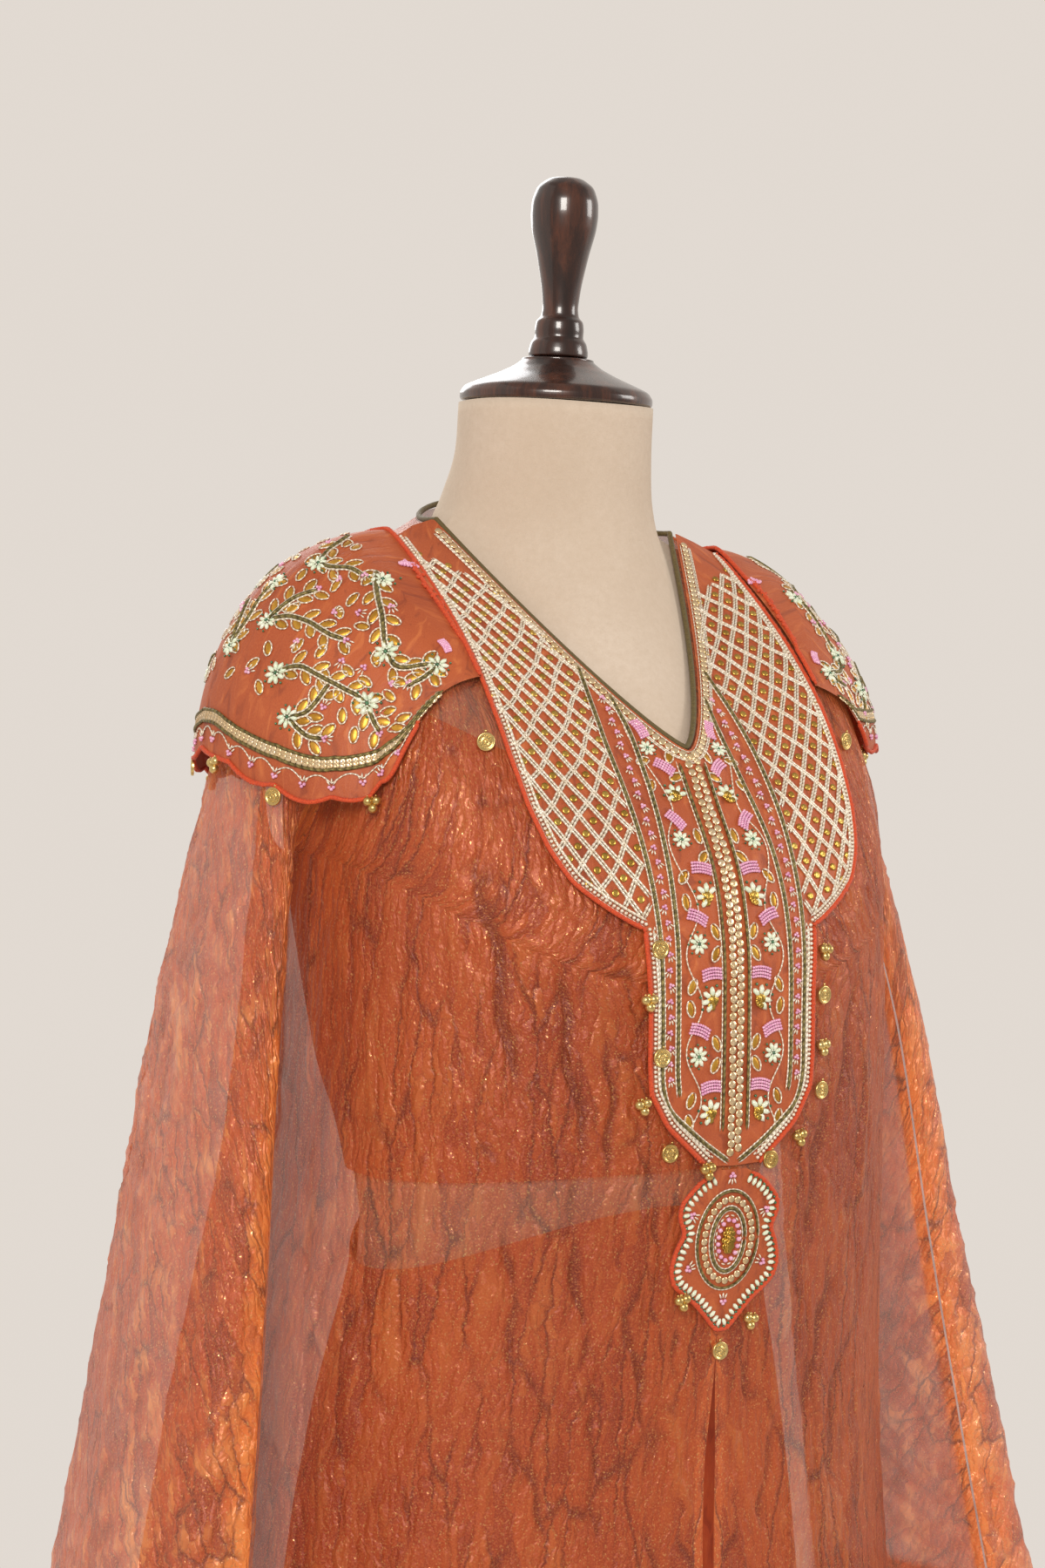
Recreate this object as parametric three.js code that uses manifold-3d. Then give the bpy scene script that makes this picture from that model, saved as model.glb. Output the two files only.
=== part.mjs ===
// A sheer embroidered kaftan worn by a limbless dress form with a turned neck cap.
// Millimetres, +Z up. The front faces -Y and the wearer's left side is +X.
// Cloth is worked out round the axis of the neck, then set back so that the origin lies mid-base.
import * as THREE from 'three';
import * as BufferGeometryUtils from 'three/addons/utils/BufferGeometryUtils.js';
import Module from 'manifold-3d';

// ---- driving sizes ----
const neckAxisY = -12.9; // neck axis from the middle of the whole, front to back
const rimHeight = 1500; // underside of the turned neck cap
const neckLean = 2.7; // degrees the neck leans forward
const clothWall = 1.4; // wall of every sheer cloth piece
const yokeWall = 1.8; // wall of the beaded pieces
const liningWall = 1.2;
const seamGap = 0.3; // clear space kept at every seam
const layerGap = 0.8; // clear space under what is laid on the cloth
const slitTop = 958; // height where the front slit starts
const slitSpread = 9; // half the slit's width gained towards the hem
const seamSlack = 0.05; // kept beyond half a seam gap, so that rounding can't close it
const shoulderShare = 0.13; // share of the way down where the armhole starts
const underarmShare = 0.25; // and where it ends
const armholeDepth = 48; // reach of the armhole to the front and to the back
const capChordX = 117; // plane in which each cap meets the bib
const capRadius = { side: 105, front: 116, back: 93 }; // plan reach of each shoulder cap
const capCentreY = 8;
const capClearance = 2.4; // between a cap and the cloth under it
const shoulderStart = 0.05; // share of the way down where the shoulders are as wide as the bib
const coinRadius = 5.2;
const coinWall = 1.3;
const bellRadius = 2.8;
const charmDrop = 2; // middle of a charm below the edge that it hangs over

// Rings have a half-width, a middle, a reach to the front and the back, heights at the side, front
// and back (side, fore and rear), and say how pointed they are: 1 is round and less is boxy.
// In front, open is that power across and vee the one from front to back; bow is both behind.
const ringColumns = [
  'at', 'half', 'midY', 'front', 'back', 'side', 'fore', 'rear', 'open', 'vee', 'bow',
];
const withColumns = (columns, rows) => rows.map((row) => (
  Object.fromEntries(columns.map((column, i) => [column, row[i]]))
));

// The kaftan's body from neckline to hem.
const bodyRings = withColumns(ringColumns, [
  [0.00, 87, -3, 141, 81, 1426, 1294, 1444, 1.48, 2, 1],
  [0.06, 120, -3, 158, 98, 1414, 1264, 1406, 1.34, 1.5, 1],
  [0.13, 166, -3, 178, 118, 1393, 1230, 1338, 1.1, 1.15, 0.95],
  [0.19, 177, -4, 186, 132, 1312, 1200, 1280, 0.84, 0.78, 0.92],
  [0.25, 182, -5, 189, 148, 1232, 1165, 1222, 0.78, 0.72, 0.9],
  [0.36, 190, -9, 185, 190, 1062, 1062, 1062, 0.8, 0.78, 0.88],
  [0.46, 204, -2, 183, 200, 958, 958, 958, 0.84, 0.84, 0.84],
  [0.58, 220, 4, 187, 213, 830, 830, 830, 0.88, 0.88, 0.82],
  [0.80, 262, 4, 218, 240, 450, 450, 450, 0.94, 0.94, 0.88],
  [1.00, 296, 3, 248, 260, 130, 130, 130, 1, 1, 0.95],
]);

// Hanging folds round the body: where each runs, its half-width in degrees, its depth at the hem
// (out is positive) and the share of the way down where it starts.
const bodyFolds = [
  { angle: 12, spread: 7, depth: 15, start: 0.36 },
  { angle: 30, spread: 6, depth: -16, start: 0.33 },
  { angle: 47, spread: 7, depth: 19, start: 0.38 },
  { angle: 66, spread: 6, depth: -14, start: 0.3 },
  { angle: 84, spread: 8, depth: 16, start: 0.35 },
  { angle: 103, spread: 6, depth: -17, start: 0.31 },
  { angle: 122, spread: 7, depth: 15, start: 0.37 },
  { angle: 140, spread: 6, depth: -13, start: 0.34 },
  { angle: 158, spread: 7, depth: 18, start: 0.36 },
  { angle: 198, spread: 6, depth: 14, start: 0.45 },
  { angle: 214, spread: 6, depth: -13, start: 0.4 },
  { angle: 230, spread: 7, depth: 17, start: 0.42 },
  { angle: 247, spread: 5, depth: -14, start: 0.47 },
  { angle: 261, spread: 5, depth: 10, start: 0.5 },
  { angle: 284, spread: 6, depth: -12, start: 0.5 },
  { angle: 299, spread: 6, depth: 18, start: 0.44 },
  { angle: 316, spread: 6, depth: -14, start: 0.43 },
  { angle: 333, spread: 7, depth: 15, start: 0.45 },
];
const bodyStations = [
  0, 0.025, 0.055, 0.09, 0.13, 0.142, 0.163, 0.19, 0.217, 0.238, 0.25, 0.28, 0.315, 0.36, 0.41, 0.47,
  0.53, 0.6, 0.69, 0.79, 0.9, 1,
];

// Rings of the left sleeve from armhole to hem: outer and inner point, half-depth and middle.
const sleeveRings = [
  { at: 0.00, outX: 170.5, outZ: 1385, inX: 185.5, inZ: 1239, depth: 46, midY: -4 },
  { at: 0.05, outX: 188, outZ: 1366, inX: 192, inZ: 1224, depth: 49, midY: -3 },
  { at: 0.12, outX: 203, outZ: 1332, inX: 196, inZ: 1206, depth: 52, midY: -2 },
  { at: 0.20, outX: 212, outZ: 1290, inX: 200, inZ: 1184, depth: 57, midY: -2 },
  { at: 0.30, outX: 225, outZ: 1232, inX: 205, inZ: 1150, depth: 65, midY: -4 },
  { at: 0.42, outX: 244, outZ: 1150, inX: 211, inZ: 1095, depth: 73, midY: -9 },
  { at: 0.60, outX: 271, outZ: 1010, inX: 219, inZ: 985, depth: 82, midY: -16 },
  { at: 0.80, outX: 302, outZ: 860, inX: 232, inZ: 850, depth: 92, midY: -26 },
  { at: 1.00, outX: 330, outZ: 725, inX: 249, inZ: 720, depth: 100, midY: -36 },
];
const sleeveStations = [
  0, 0.03, 0.07, 0.12, 0.18, 0.24, 0.3, 0.37, 0.45, 0.55, 0.66, 0.77, 0.88, 1,
];
const sleeveSlit = { angle: 243.3, tack: 0.22, wide: 13, full: 0.42 }; // open below the bar tack
const sleeveHead = { length: 0.12, inset: 0.45 }; // where it leaves the armhole, and the gap there
const sleeveWaves = { count: 6, hemDepth: 5, start: 0.3 };

// Edge of the bib: its outer corner on one side and its height on the middle line, row by row,
// and how much further it stands off the cloth, which bends most over the shoulders.
const bibRows = [
  { outerX: 86.7, outerZ: 1426, middleZ: 1294, lift: 1.6 },
  { outerX: 101, outerZ: 1421, middleZ: 1284, lift: 2 },
  { outerX: 116.2, outerZ: 1413, middleZ: 1274, lift: 2.3 },
  { outerX: 116.2, outerZ: 1384, middleZ: 1262, lift: 2.3 },
  { outerX: 116.2, outerZ: 1350, middleZ: 1250, lift: 2 },
  { outerX: 116.2, outerZ: 1317, middleZ: 1240, lift: 1.6 },
  { outerX: 115, outerZ: 1290, middleZ: 1228, lift: 1.2 },
  { outerX: 112, outerZ: 1262, middleZ: 1217, lift: 0.8 },
  { outerX: 106, outerZ: 1240, middleZ: 1209, lift: 0.5 },
  { outerX: 96, outerZ: 1222, middleZ: 1202, lift: 0.3 },
  { outerX: 78, outerZ: 1208, middleZ: 1195, lift: 0.2 },
  { outerX: 58.5, outerZ: 1197, middleZ: 1188, lift: 0 },
  { outerX: 56, outerZ: 1160, middleZ: 1156, lift: 0 },
  { outerX: 56, outerZ: 1125, middleZ: 1123, lift: 0 },
  { outerX: 55, outerZ: 1108, middleZ: 1106, lift: 0 },
  { outerX: 44, outerZ: 1089, middleZ: 1088, lift: 0 },
  { outerX: 19, outerZ: 1067, middleZ: 1066, lift: 0 },
];

// Outline of the hanging ornament below the bib: half-width at each height.
const ornamentRows = [
  { z: 1064, half: 10 },
  { z: 1058, half: 22 },
  { z: 1047, half: 33 },
  { z: 1038, half: 34 },
  { z: 1030, half: 29 },
  { z: 1022, half: 34 },
  { z: 1010, half: 37 },
  { z: 1000, half: 34 },
  { z: 990, half: 20 },
  { z: 980, half: 10 },
  { z: 971, half: 3 },
];

// Height of the lower edge of each shoulder cap, from its front corner round the side to the back.
const capRim = [
  { turn: -82, right: 1308, left: 1312 },
  { turn: -72, right: 1283, left: 1302 },
  { turn: -58, right: 1270, left: 1298 },
  { turn: -42, right: 1265, left: 1298 },
  { turn: -26, right: 1272, left: 1297 },
  { turn: -12, right: 1281, left: 1294 },
  { turn: 0, right: 1290, left: 1290 },
  { turn: 16, right: 1288, left: 1284 },
  { turn: 34, right: 1280, left: 1278 },
  { turn: 52, right: 1276, left: 1276 },
  { turn: 68, right: 1274, left: 1274 },
  { turn: 80, right: 1280, left: 1280 },
];
const capScallop = { count: 9, depth: 4 };
const capLifts = [2.2, 1.4, 0.4]; // how much further the rows next to the bib stand off the cloth

// The dress form from its neck down.
const formRings = withColumns(ringColumns, [
  [0.00, 59, 0, 59, 59, 1500, 1497.22, 1502.78, 1, 1, 1],
  [0.04, 59.5, 1.5, 59, 61, 1470, 1466, 1474, 1, 1, 1],
  [0.08, 64, 5, 64, 66, 1446, 1424, 1456, 1, 1.1, 1],
  [0.12, 70, 3, 85, 72, 1432, 1372, 1446, 1.12, 1.4, 1],
  [0.16, 81, -3, 136, 77, 1421, 1293, 1438, 1.42, 1.97, 1],
  [0.20, 112, -3, 151, 88, 1409, 1262, 1400, 1.28, 1.5, 1],
  [0.25, 154, -3, 167, 102, 1386, 1232, 1334, 1.1, 1.15, 0.95],
  [0.30, 166, -4, 173, 106, 1312, 1202, 1280, 0.88, 0.82, 0.95],
  [0.36, 169, -5, 171, 103, 1232, 1168, 1222, 0.84, 0.78, 0.95],
  [0.46, 153, -10, 142, 92, 1122, 1114, 1122, 0.92, 0.9, 1],
  [0.56, 136, -14, 122, 88, 1066, 1062, 1066, 1, 0.98, 1],
  [0.64, 124, -14, 116, 88, 1014, 1012, 1014, 1, 1, 1],
  [0.74, 128, -12, 124, 98, 962, 962, 962, 1, 1, 1],
  [0.86, 144, -10, 134, 114, 895, 895, 895, 1, 1, 0.95],
  [1.00, 153, -10, 136, 120, 815, 815, 815, 1, 1, 0.95],
]);
const formStations = [
  0, 0.03, 0.06, 0.08, 0.1, 0.12, 0.14, 0.16, 0.18, 0.2, 0.225, 0.25, 0.275, 0.3, 0.33, 0.36, 0.41,
  0.46, 0.51, 0.56, 0.64, 0.74, 0.86, 1,
];

// The lining that shows through: a bodice tube and a skirt tube, bare form between them.
const bodiceTop = { fore: 1258, side: 1252, rear: 1262 };
const bodiceEnd = { fore: 1055, side: 1045, rear: 1045 };
const liningRise = 3.2; // clear space between lining and form
const skirtRings = [
  { z: 1034, dip: 44, half: 130, midY: -14, front: 122, back: 93 },
  { z: 1012, dip: 32, half: 130.5, midY: -14, front: 121.5, back: 94 },
  { z: 975, dip: 14, half: 133.5, midY: -12, front: 127.5, back: 101 },
  { z: 932, dip: 0, half: 140.5, midY: -11, front: 133.5, back: 110 },
  { z: 895, dip: 0, half: 148.2, midY: -10, front: 138.5, back: 118.8 },
  { z: 838, dip: 0, half: 157, midY: -9, front: 143, back: 127 },
  { z: 700, dip: 0, half: 174, midY: -7, front: 155, back: 142 },
  { z: 520, dip: 0, half: 195, midY: -4, front: 172, back: 161 },
  { z: 340, dip: 0, half: 213, midY: 0, front: 187, back: 179 },
  { z: 165, dip: 0, half: 230, midY: 2, front: 198, back: 194 },
];
const skirtFolds = { count: 8, hemDepth: 8, topZ: 900 };

// Turned profiles from the axis out and back: radius and height over the rim's underside.
const neckCapProfile = [
  [0, 0], [57, 0], [58.5, 1.5], [58.5, 5], [56, 9], [48, 12.5], [36, 17.5], [27, 22], [21.7, 26],
  [21.7, 27.5], [0, 27.5],
];
const finialProfile = [
  [0, 27.8], [18, 27.8], [18, 32], [16.8, 37], [14.6, 40], [14.9, 45], [14.2, 50], [11.5, 52.5], [10.6, 58],
  [12.2, 72], [16, 91], [19.4, 104], [20.4, 113], [20, 122], [17, 130.5], [10, 135.5], [0, 136.5],
];
const baseHeight = 16;
const baseProfile = [
  [0, 0], [196, 0], [200, 3], [200, 11], [194, baseHeight], [0, baseHeight],
];
const poleRadius = 15;
const poleTop = 814.7;
const poleY = -10; // middle of the form's lower end and of the base, from the neck axis
const pipingRadius = 1.7; // binding along the neckline

// Coins and bell clusters: where each hangs and how far out it lies. The wearer's right side is
// negative.
const frontCharms = [
  { kind: 'coin', x: -50, z: 1187, out: 1.97 },
  { kind: 'bells', x: -57.5, z: 1160, out: 1.75 },
  { kind: 'coin', x: -49, z: 1128, out: 2.2 },
  { kind: 'bells', x: -59, z: 1103, out: -1.1 },
  { kind: 'coin', x: -41, z: 1075, out: -0.5 },
  { kind: 'bells', x: -19, z: 1066, out: 1.8 },
  { kind: 'bells', x: 65.5, z: 1184, out: -0.55 },
  { kind: 'coin', x: 66, z: 1158, out: -0.4 },
  { kind: 'bells', x: 64, z: 1130, out: -0.95 },
  { kind: 'coin', x: 65, z: 1104, out: -0.45 },
  { kind: 'bells', x: 47, z: 1080, out: -1 },
  { kind: 'coin', x: 25, z: 1068, out: 2.2 },
  { kind: 'bells', x: -29, z: 993, out: 1.5 },
  { kind: 'bells', x: 20, z: 978, out: -0.15 },
  { kind: 'coin', x: 1, z: 961, out: 0.4 },
  { kind: 'coin', x: -125, z: 1298, out: 2 },
  { kind: 'coin', x: 125, z: 1301, out: 2 },
];

// Charms over each cap's lower edge, from the front to the back, and how far out each hangs.
const capCharms = [
  { kind: 'bells', turn: -58, left: -4.9, right: -0.8 },
  { kind: 'coin', turn: -28, left: -4.2, right: 2.4 },
  { kind: 'bells', turn: -3, left: 0.5, right: 0 },
  { kind: 'coin', turn: 24, left: -4.6, right: 2 },
  { kind: 'bells', turn: 50, left: -0.7, right: -0.7 },
];

// ---- colours and finishes ----
const finishes = {
  organza: { color: 0xb45430, roughness: 0.45, metalness: 0.1 },
  bead: { color: 0xa86a48, roughness: 0.5, metalness: 0.15 },
  lining: { color: 0xb24a28, roughness: 0.6, metalness: 0 },
  suede: { color: 0xcdbb9f, roughness: 0.9, metalness: 0 },
  wood: { color: 0x2c1a14, roughness: 0.25, metalness: 0 },
  piping: { color: 0x6a6238, roughness: 0.6, metalness: 0 },
  gold: { color: 0xb9964a, roughness: 0.3, metalness: 0.9 },
};

const rad = THREE.MathUtils.degToRad;
const model = new THREE.Group();

function addPiece(name, geometry, finish) {
  const mesh = new THREE.Mesh(geometry, new THREE.MeshStandardMaterial(finishes[finish]));
  mesh.name = name;
  model.add(mesh);
  return mesh;
}

// Reads every column of a table at a place between its rows, along smooth curves through them.
function readTable(table, key, place) {
  const last = table.length - 1;
  const rising = table[last][key] > table[0][key];
  let row = 0;
  while (row < last - 1 && (rising ? place > table[row + 1][key] : place < table[row + 1][key])) {
    row += 1;
  }
  const rows = [row - 1, row, row + 1, row + 2].map((r) => table[THREE.MathUtils.clamp(r, 0, last)]);
  const span = rows[2][key] - rows[1][key];
  const t = THREE.MathUtils.clamp((place - rows[1][key]) / span, 0, 1);
  const result = {};
  for (const column of Object.keys(rows[1])) {
    const slopes = [1, 2].map((i) => {
      const width = rows[i + 1][key] - rows[i - 1][key];
      return width === 0 ? 0 : ((rows[i + 1][column] - rows[i - 1][column]) / width) * span;
    });
    const [a, b] = [rows[1][column], rows[2][column]];
    result[column] = a * (2 * t ** 3 - 3 * t ** 2 + 1) + slopes[0] * (t ** 3 - 2 * t ** 2 + t)
      + b * (3 * t ** 2 - 2 * t ** 3) + slopes[1] * (t ** 3 - t ** 2);
  }
  return result;
}

// A closed solid from an outer and an inner grid of points, joined along their edges.
// A grid that wraps has no side edges; a grid without an inner one is closed by end caps.
function solidFromGrids(outer, inner, wraps) {
  const rows = outer.length;
  const columns = outer[0].length;
  const positions = [...outer.flat(), ...inner.flat()].flatMap((p) => [p.x, p.y, p.z]);
  const index = [];
  const at = (layer, row, column) => (layer * rows + row) * columns + (column % columns);
  const quad = (a, b, c, d) => index.push(a, b, c, a, c, d);
  const steps = wraps ? columns : columns - 1;
  for (let row = 0; row < rows - 1; row += 1) {
    for (let column = 0; column < steps; column += 1) {
      quad(at(0, row, column), at(0, row + 1, column), at(0, row + 1, column + 1), at(0, row, column + 1));
      quad(at(1, row, column), at(1, row, column + 1), at(1, row + 1, column + 1), at(1, row + 1, column));
    }
    if (!wraps) {
      quad(at(0, row, 0), at(1, row, 0), at(1, row + 1, 0), at(0, row + 1, 0));
      quad(at(0, row, steps), at(0, row + 1, steps), at(1, row + 1, steps), at(1, row, steps));
    }
  }
  for (let column = 0; column < steps; column += 1) {
    const end = rows - 1;
    quad(at(0, 0, column), at(0, 0, column + 1), at(1, 0, column + 1), at(1, 0, column));
    quad(at(0, end, column), at(1, end, column), at(1, end, column + 1), at(0, end, column + 1));
  }
  return facingOut(positions, index);
}

// Turns every triangle round where the solid would face inwards.
function facingOut(positions, index) {
  const [a, b, c] = [new THREE.Vector3(), new THREE.Vector3(), new THREE.Vector3()];
  let volume = 0;
  for (let i = 0; i < index.length; i += 3) {
    a.fromArray(positions, index[i] * 3);
    b.fromArray(positions, index[i + 1] * 3);
    c.fromArray(positions, index[i + 2] * 3);
    volume += a.dot(b.cross(c));
  }
  const geometry = new THREE.BufferGeometry();
  geometry.setAttribute('position', new THREE.Float32BufferAttribute(positions, 3));
  geometry.setIndex(volume < 0 ? index.slice().reverse() : index);
  geometry.computeVertexNormals();
  return geometry;
}

// Outward directions of a grid of points, from its neighbours on both sides.
function gridNormals(grid, wraps, side) {
  const rows = grid.length;
  const columns = grid[0].length;
  return grid.map((line, row) => line.map((point, column) => {
    const left = wraps ? (column + columns - 1) % columns : Math.max(column - 1, 0);
    const right = wraps ? (column + 1) % columns : Math.min(column + 1, columns - 1);
    const across = line[right].clone().sub(line[left]);
    const down = grid[Math.min(row + 1, rows - 1)][column].clone().sub(grid[Math.max(row - 1, 0)][column]);
    return down.cross(across).normalize().multiplyScalar(side);
  }));
}

// A cloth wall: its points moved out by rise, and the same points moved out by rise less the wall.
// An edge column along a seam keeps its wall in the seam's plane: seams names the axis across it.
function clothSolid(grid, { wall, rise = 0, wraps = false, side = 1, seams = [], lifts = [] }) {
  const normals = gridNormals(grid, wraps, side);
  normals.forEach((line) => {
    seams.forEach((axis, i) => {
      const edge = line[i === 0 ? 0 : line.length - 1];
      edge[axis] = 0;
      edge.normalize();
    });
  });
  const moved = (by) => grid.map((line, row) => line.map((p, column) => (
    p.clone().addScaledVector(normals[row][column], by + (lifts[row] ?? 0))
  )));
  return solidFromGrids(moved(rise), moved(rise - wall), wraps);
}

// ---- the kaftan's body ----
function foldRise(angle, share) {
  const degrees = THREE.MathUtils.euclideanModulo(THREE.MathUtils.radToDeg(angle), 360);
  let rise = 0;
  for (const fold of bodyFolds) {
    const away = Math.abs(THREE.MathUtils.euclideanModulo(degrees - fold.angle + 180, 360) - 180);
    const grown = THREE.MathUtils.smoothstep(share, fold.start, 1.05);
    rise += fold.depth * grown * Math.exp(-((away / fold.spread) ** 2));
  }
  return rise;
}

// The point of a ring at an angle round it: 0 is the wearer's left and 90 the back.
function ringPoint(ring, angle) {
  const isFront = Math.sin(angle) < 0;
  const [c, s] = [Math.cos(angle), Math.sin(angle)];
  const across = isFront ? ring.open : ring.bow;
  const along = isFront ? ring.vee : ring.bow;
  const reach = isFront ? ring.front : ring.back;
  return new THREE.Vector3(
    ring.half * Math.sign(c) * Math.abs(c) ** across,
    ring.midY + reach * Math.sign(s) * Math.abs(s) ** along,
    ring.side + ((isFront ? ring.fore : ring.rear) - ring.side) * s * s,
  );
}

// The point of the body at an angle round it and a share of the way down, with its folds or without.
function bodyPoint(angle, share, folded = true) {
  const ring = readTable(bodyRings, 'at', share);
  const reach = Math.sin(angle) < 0 ? ring.front : ring.back;
  const outward = new THREE.Vector3(Math.cos(angle) / ring.half, Math.sin(angle) / reach, 0).normalize();
  return ringPoint(ring, angle).addScaledVector(outward, folded ? foldRise(angle, share) : 0);
}

// The angle on the front of the ring at a given share whose point lies at a given x.
function frontAngle(x, share) {
  const ring = readTable(bodyRings, 'at', share);
  const c = Math.min(Math.abs(x) / ring.half, 1) ** (1 / ring.open);
  return x < 0 ? Math.PI + Math.acos(c) : 2 * Math.PI - Math.acos(c);
}

const onFront = (x, share) => bodyPoint(frontAngle(x, share), share);

// The share of the way down at which the front at a given x reaches a given height.
function frontShare(x, z) {
  let [low, high] = [0, 1];
  for (let step = 0; step < 30; step += 1) {
    const middle = (low + high) / 2;
    if (onFront(x, middle).z > z) {
      low = middle;
    } else {
      high = middle;
    }
  }
  return (low + high) / 2;
}

// Angle from the side at which the front or back starts: half a seam, or the armhole's edge.
function sideAngle(share, isFront) {
  const ring = readTable(bodyRings, 'at', share);
  const along = (share - shoulderShare) / (underarmShare - shoulderShare);
  const inside = Math.max(0, 1 - (2 * along - 1) ** 2);
  const reach = seamGap / 2 + 2 * seamSlack + armholeDepth * Math.sqrt(inside);
  const part = reach / (isFront ? ring.front : ring.back);
  return Math.asin(part ** (1 / (isFront ? ring.vee : ring.bow)));
}

// Half the width of the front opening: a seam gap above the slit, wider towards the hem.
function slitHalf(share) {
  const z = readTable(bodyRings, 'at', share).fore;
  return seamGap / 2 + seamSlack + slitSpread * THREE.MathUtils.smoothstep(slitTop - z, 0, slitTop);
}

// Angles from one to another that divide the ring's unfolded outline into equal lengths.
function evenAngles(share, from, to, columns) {
  const fine = 240;
  const angles = Array.from({ length: fine + 1 }, (_, i) => from + ((to - from) * i) / fine);
  const points = angles.map((angle) => bodyPoint(angle, share, false));
  const lengths = [0];
  for (let i = 1; i <= fine; i += 1) {
    lengths.push(lengths[i - 1] + points[i].distanceTo(points[i - 1]));
  }
  return Array.from({ length: columns + 1 }, (_, column) => {
    const length = (lengths[fine] * column) / columns;
    let i = 1;
    while (i < fine && lengths[i] < length) {
      i += 1;
    }
    const part = (length - lengths[i - 1]) / (lengths[i] - lengths[i - 1]);
    return angles[i - 1] + (angles[i] - angles[i - 1]) * Math.min(part, 1);
  });
}

function frontGrid(sign, columns) {
  return bodyStations.map((share) => {
    const edge = sideAngle(share, true);
    const middle = 2 * Math.PI - frontAngle(slitHalf(share), share);
    return evenAngles(share, -edge, -middle, columns).map((angle) => (
      bodyPoint(sign > 0 ? angle : Math.PI - angle, share)
    ));
  });
}

function backGrid(columns) {
  return bodyStations.map((share) => {
    const edge = sideAngle(share, false);
    return evenAngles(share, edge, Math.PI - edge, columns).map((angle) => bodyPoint(angle, share));
  });
}

// ---- sleeves ----
// The turns round the armhole that the body's stations fall on, from the shoulder to the underarm.
const armholeShares = bodyStations.filter((share) => share >= shoulderShare && share <= underarmShare);
const armholeTurns = armholeShares.map((share) => (
  Math.acos(1 - (2 * (share - shoulderShare)) / (underarmShare - shoulderShare))
));

// A point on the armhole's edge, straight between the body's stations, set in by the seam.
function armholePoint(turn) {
  const isFront = Math.sin(turn) < 0;
  const away = Math.acos(THREE.MathUtils.clamp(Math.cos(turn), -1, 1));
  const next = THREE.MathUtils.clamp(armholeTurns.findIndex((t) => t >= away), 1, armholeTurns.length - 1);
  const [start, end, top, bottom] = [next - 1, next, 0, armholeShares.length - 1].map((i) => {
    const angle = sideAngle(armholeShares[i], isFront);
    return bodyPoint(isFront ? -angle : angle, armholeShares[i]);
  });
  const part = (away - armholeTurns[next - 1]) / (armholeTurns[next] - armholeTurns[next - 1]);
  const point = start.lerp(end, part);
  const inwards = top.add(bottom).divideScalar(2).sub(point).normalize();
  return point.addScaledVector(inwards, sleeveHead.inset);
}

function sleevePoint(turn, share) {
  const ring = readTable(sleeveRings, 'at', share);
  const grown = THREE.MathUtils.smoothstep(share, sleeveWaves.start, 1);
  const wave = 1 + Math.cos(sleeveWaves.count * turn) * sleeveWaves.hemDepth * grown / ring.depth;
  const across = Math.cos(turn) * wave / 2;
  const point = new THREE.Vector3(
    (ring.outX + ring.inX) / 2 + (ring.outX - ring.inX) * across,
    ring.midY + ring.depth * Math.sin(turn) * wave,
    (ring.outZ + ring.inZ) / 2 + (ring.outZ - ring.inZ) * across,
  );
  return armholePoint(turn).lerp(point, THREE.MathUtils.smoothstep(share, 0, sleeveHead.length));
}

// Turns of the sleeve's columns from one side of its slit round to the other: those of the
// armhole's stations and one between each two.
function sleeveTurns() {
  const slit = rad(sleeveSlit.angle);
  const around = [...armholeTurns, ...armholeTurns.slice(1, -1).map((turn) => 2 * Math.PI - turn)];
  const after = around.map((turn) => slit + THREE.MathUtils.euclideanModulo(turn - slit, 2 * Math.PI));
  const inner = after.filter((turn) => turn - slit > 0.01 && slit + 2 * Math.PI - turn > 0.01);
  const stops = [slit, ...inner.sort((a, b) => a - b), slit + 2 * Math.PI];
  return stops.flatMap((turn, i) => (i === 0 ? [turn] : [(stops[i - 1] + turn) / 2, turn]));
}

function sleeveGrid() {
  const turns = sleeveTurns();
  return sleeveStations.map((share) => {
    const ring = readTable(sleeveRings, 'at', share);
    const open = THREE.MathUtils.smoothstep(share, sleeveSlit.tack, sleeveSlit.full);
    const gap = (seamGap + 0.3 + sleeveSlit.wide * open) / ring.depth;
    const [first, last] = [turns[0] + gap / 2, turns[turns.length - 1] - gap / 2];
    return turns.map((turn) => sleevePoint(THREE.MathUtils.clamp(turn, first, last), share));
  });
}

// ---- shoulder caps ----
// Where a cap's lower edge lies at a turn from its front corner round to its back one.
function capEdge(turn, hand) {
  const reach = turn < 0 ? capRadius.front : capRadius.back;
  return {
    y: capCentreY + reach * Math.sin(rad(turn)),
    width: capRadius.side * Math.cos(rad(turn)),
    low: readTable(capRim, 'turn', turn)[hand],
  };
}

// A point of a cap beside the body, at least its clearance out from the cloth.
function capPoint(x, y, z) {
  return new THREE.Vector3(Math.max(x, bodyAt(y, 'z', z).x + capClearance), y, z);
}

function capGrid(columns, rows, hand) {
  const first = capRim[0].turn;
  const last = capRim[capRim.length - 1].turn;
  const table = Array.from({ length: columns + 1 }, (_, i) => {
    const { y, width, low } = capEdge(first + (last - first) * (i / columns), hand);
    const scallop = capScallop.depth * Math.abs(Math.sin(Math.PI * capScallop.count * (i / columns)));
    return { y, width, low: low - scallop, top: bodyAt(y, 'x', capChordX).z };
  });
  return Array.from({ length: rows + 1 }, (_, j) => table.map(({ y, width, low, top }) => {
    const bend = (Math.PI / 2) * (j / rows);
    const z = low + (top - low) * Math.cos(bend);
    const x = capChordX + 0.5 + width * Math.sin(bend);
    return j === 0 ? new THREE.Vector3(x, y, z) : capPoint(x, y, z);
  }));
}

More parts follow.
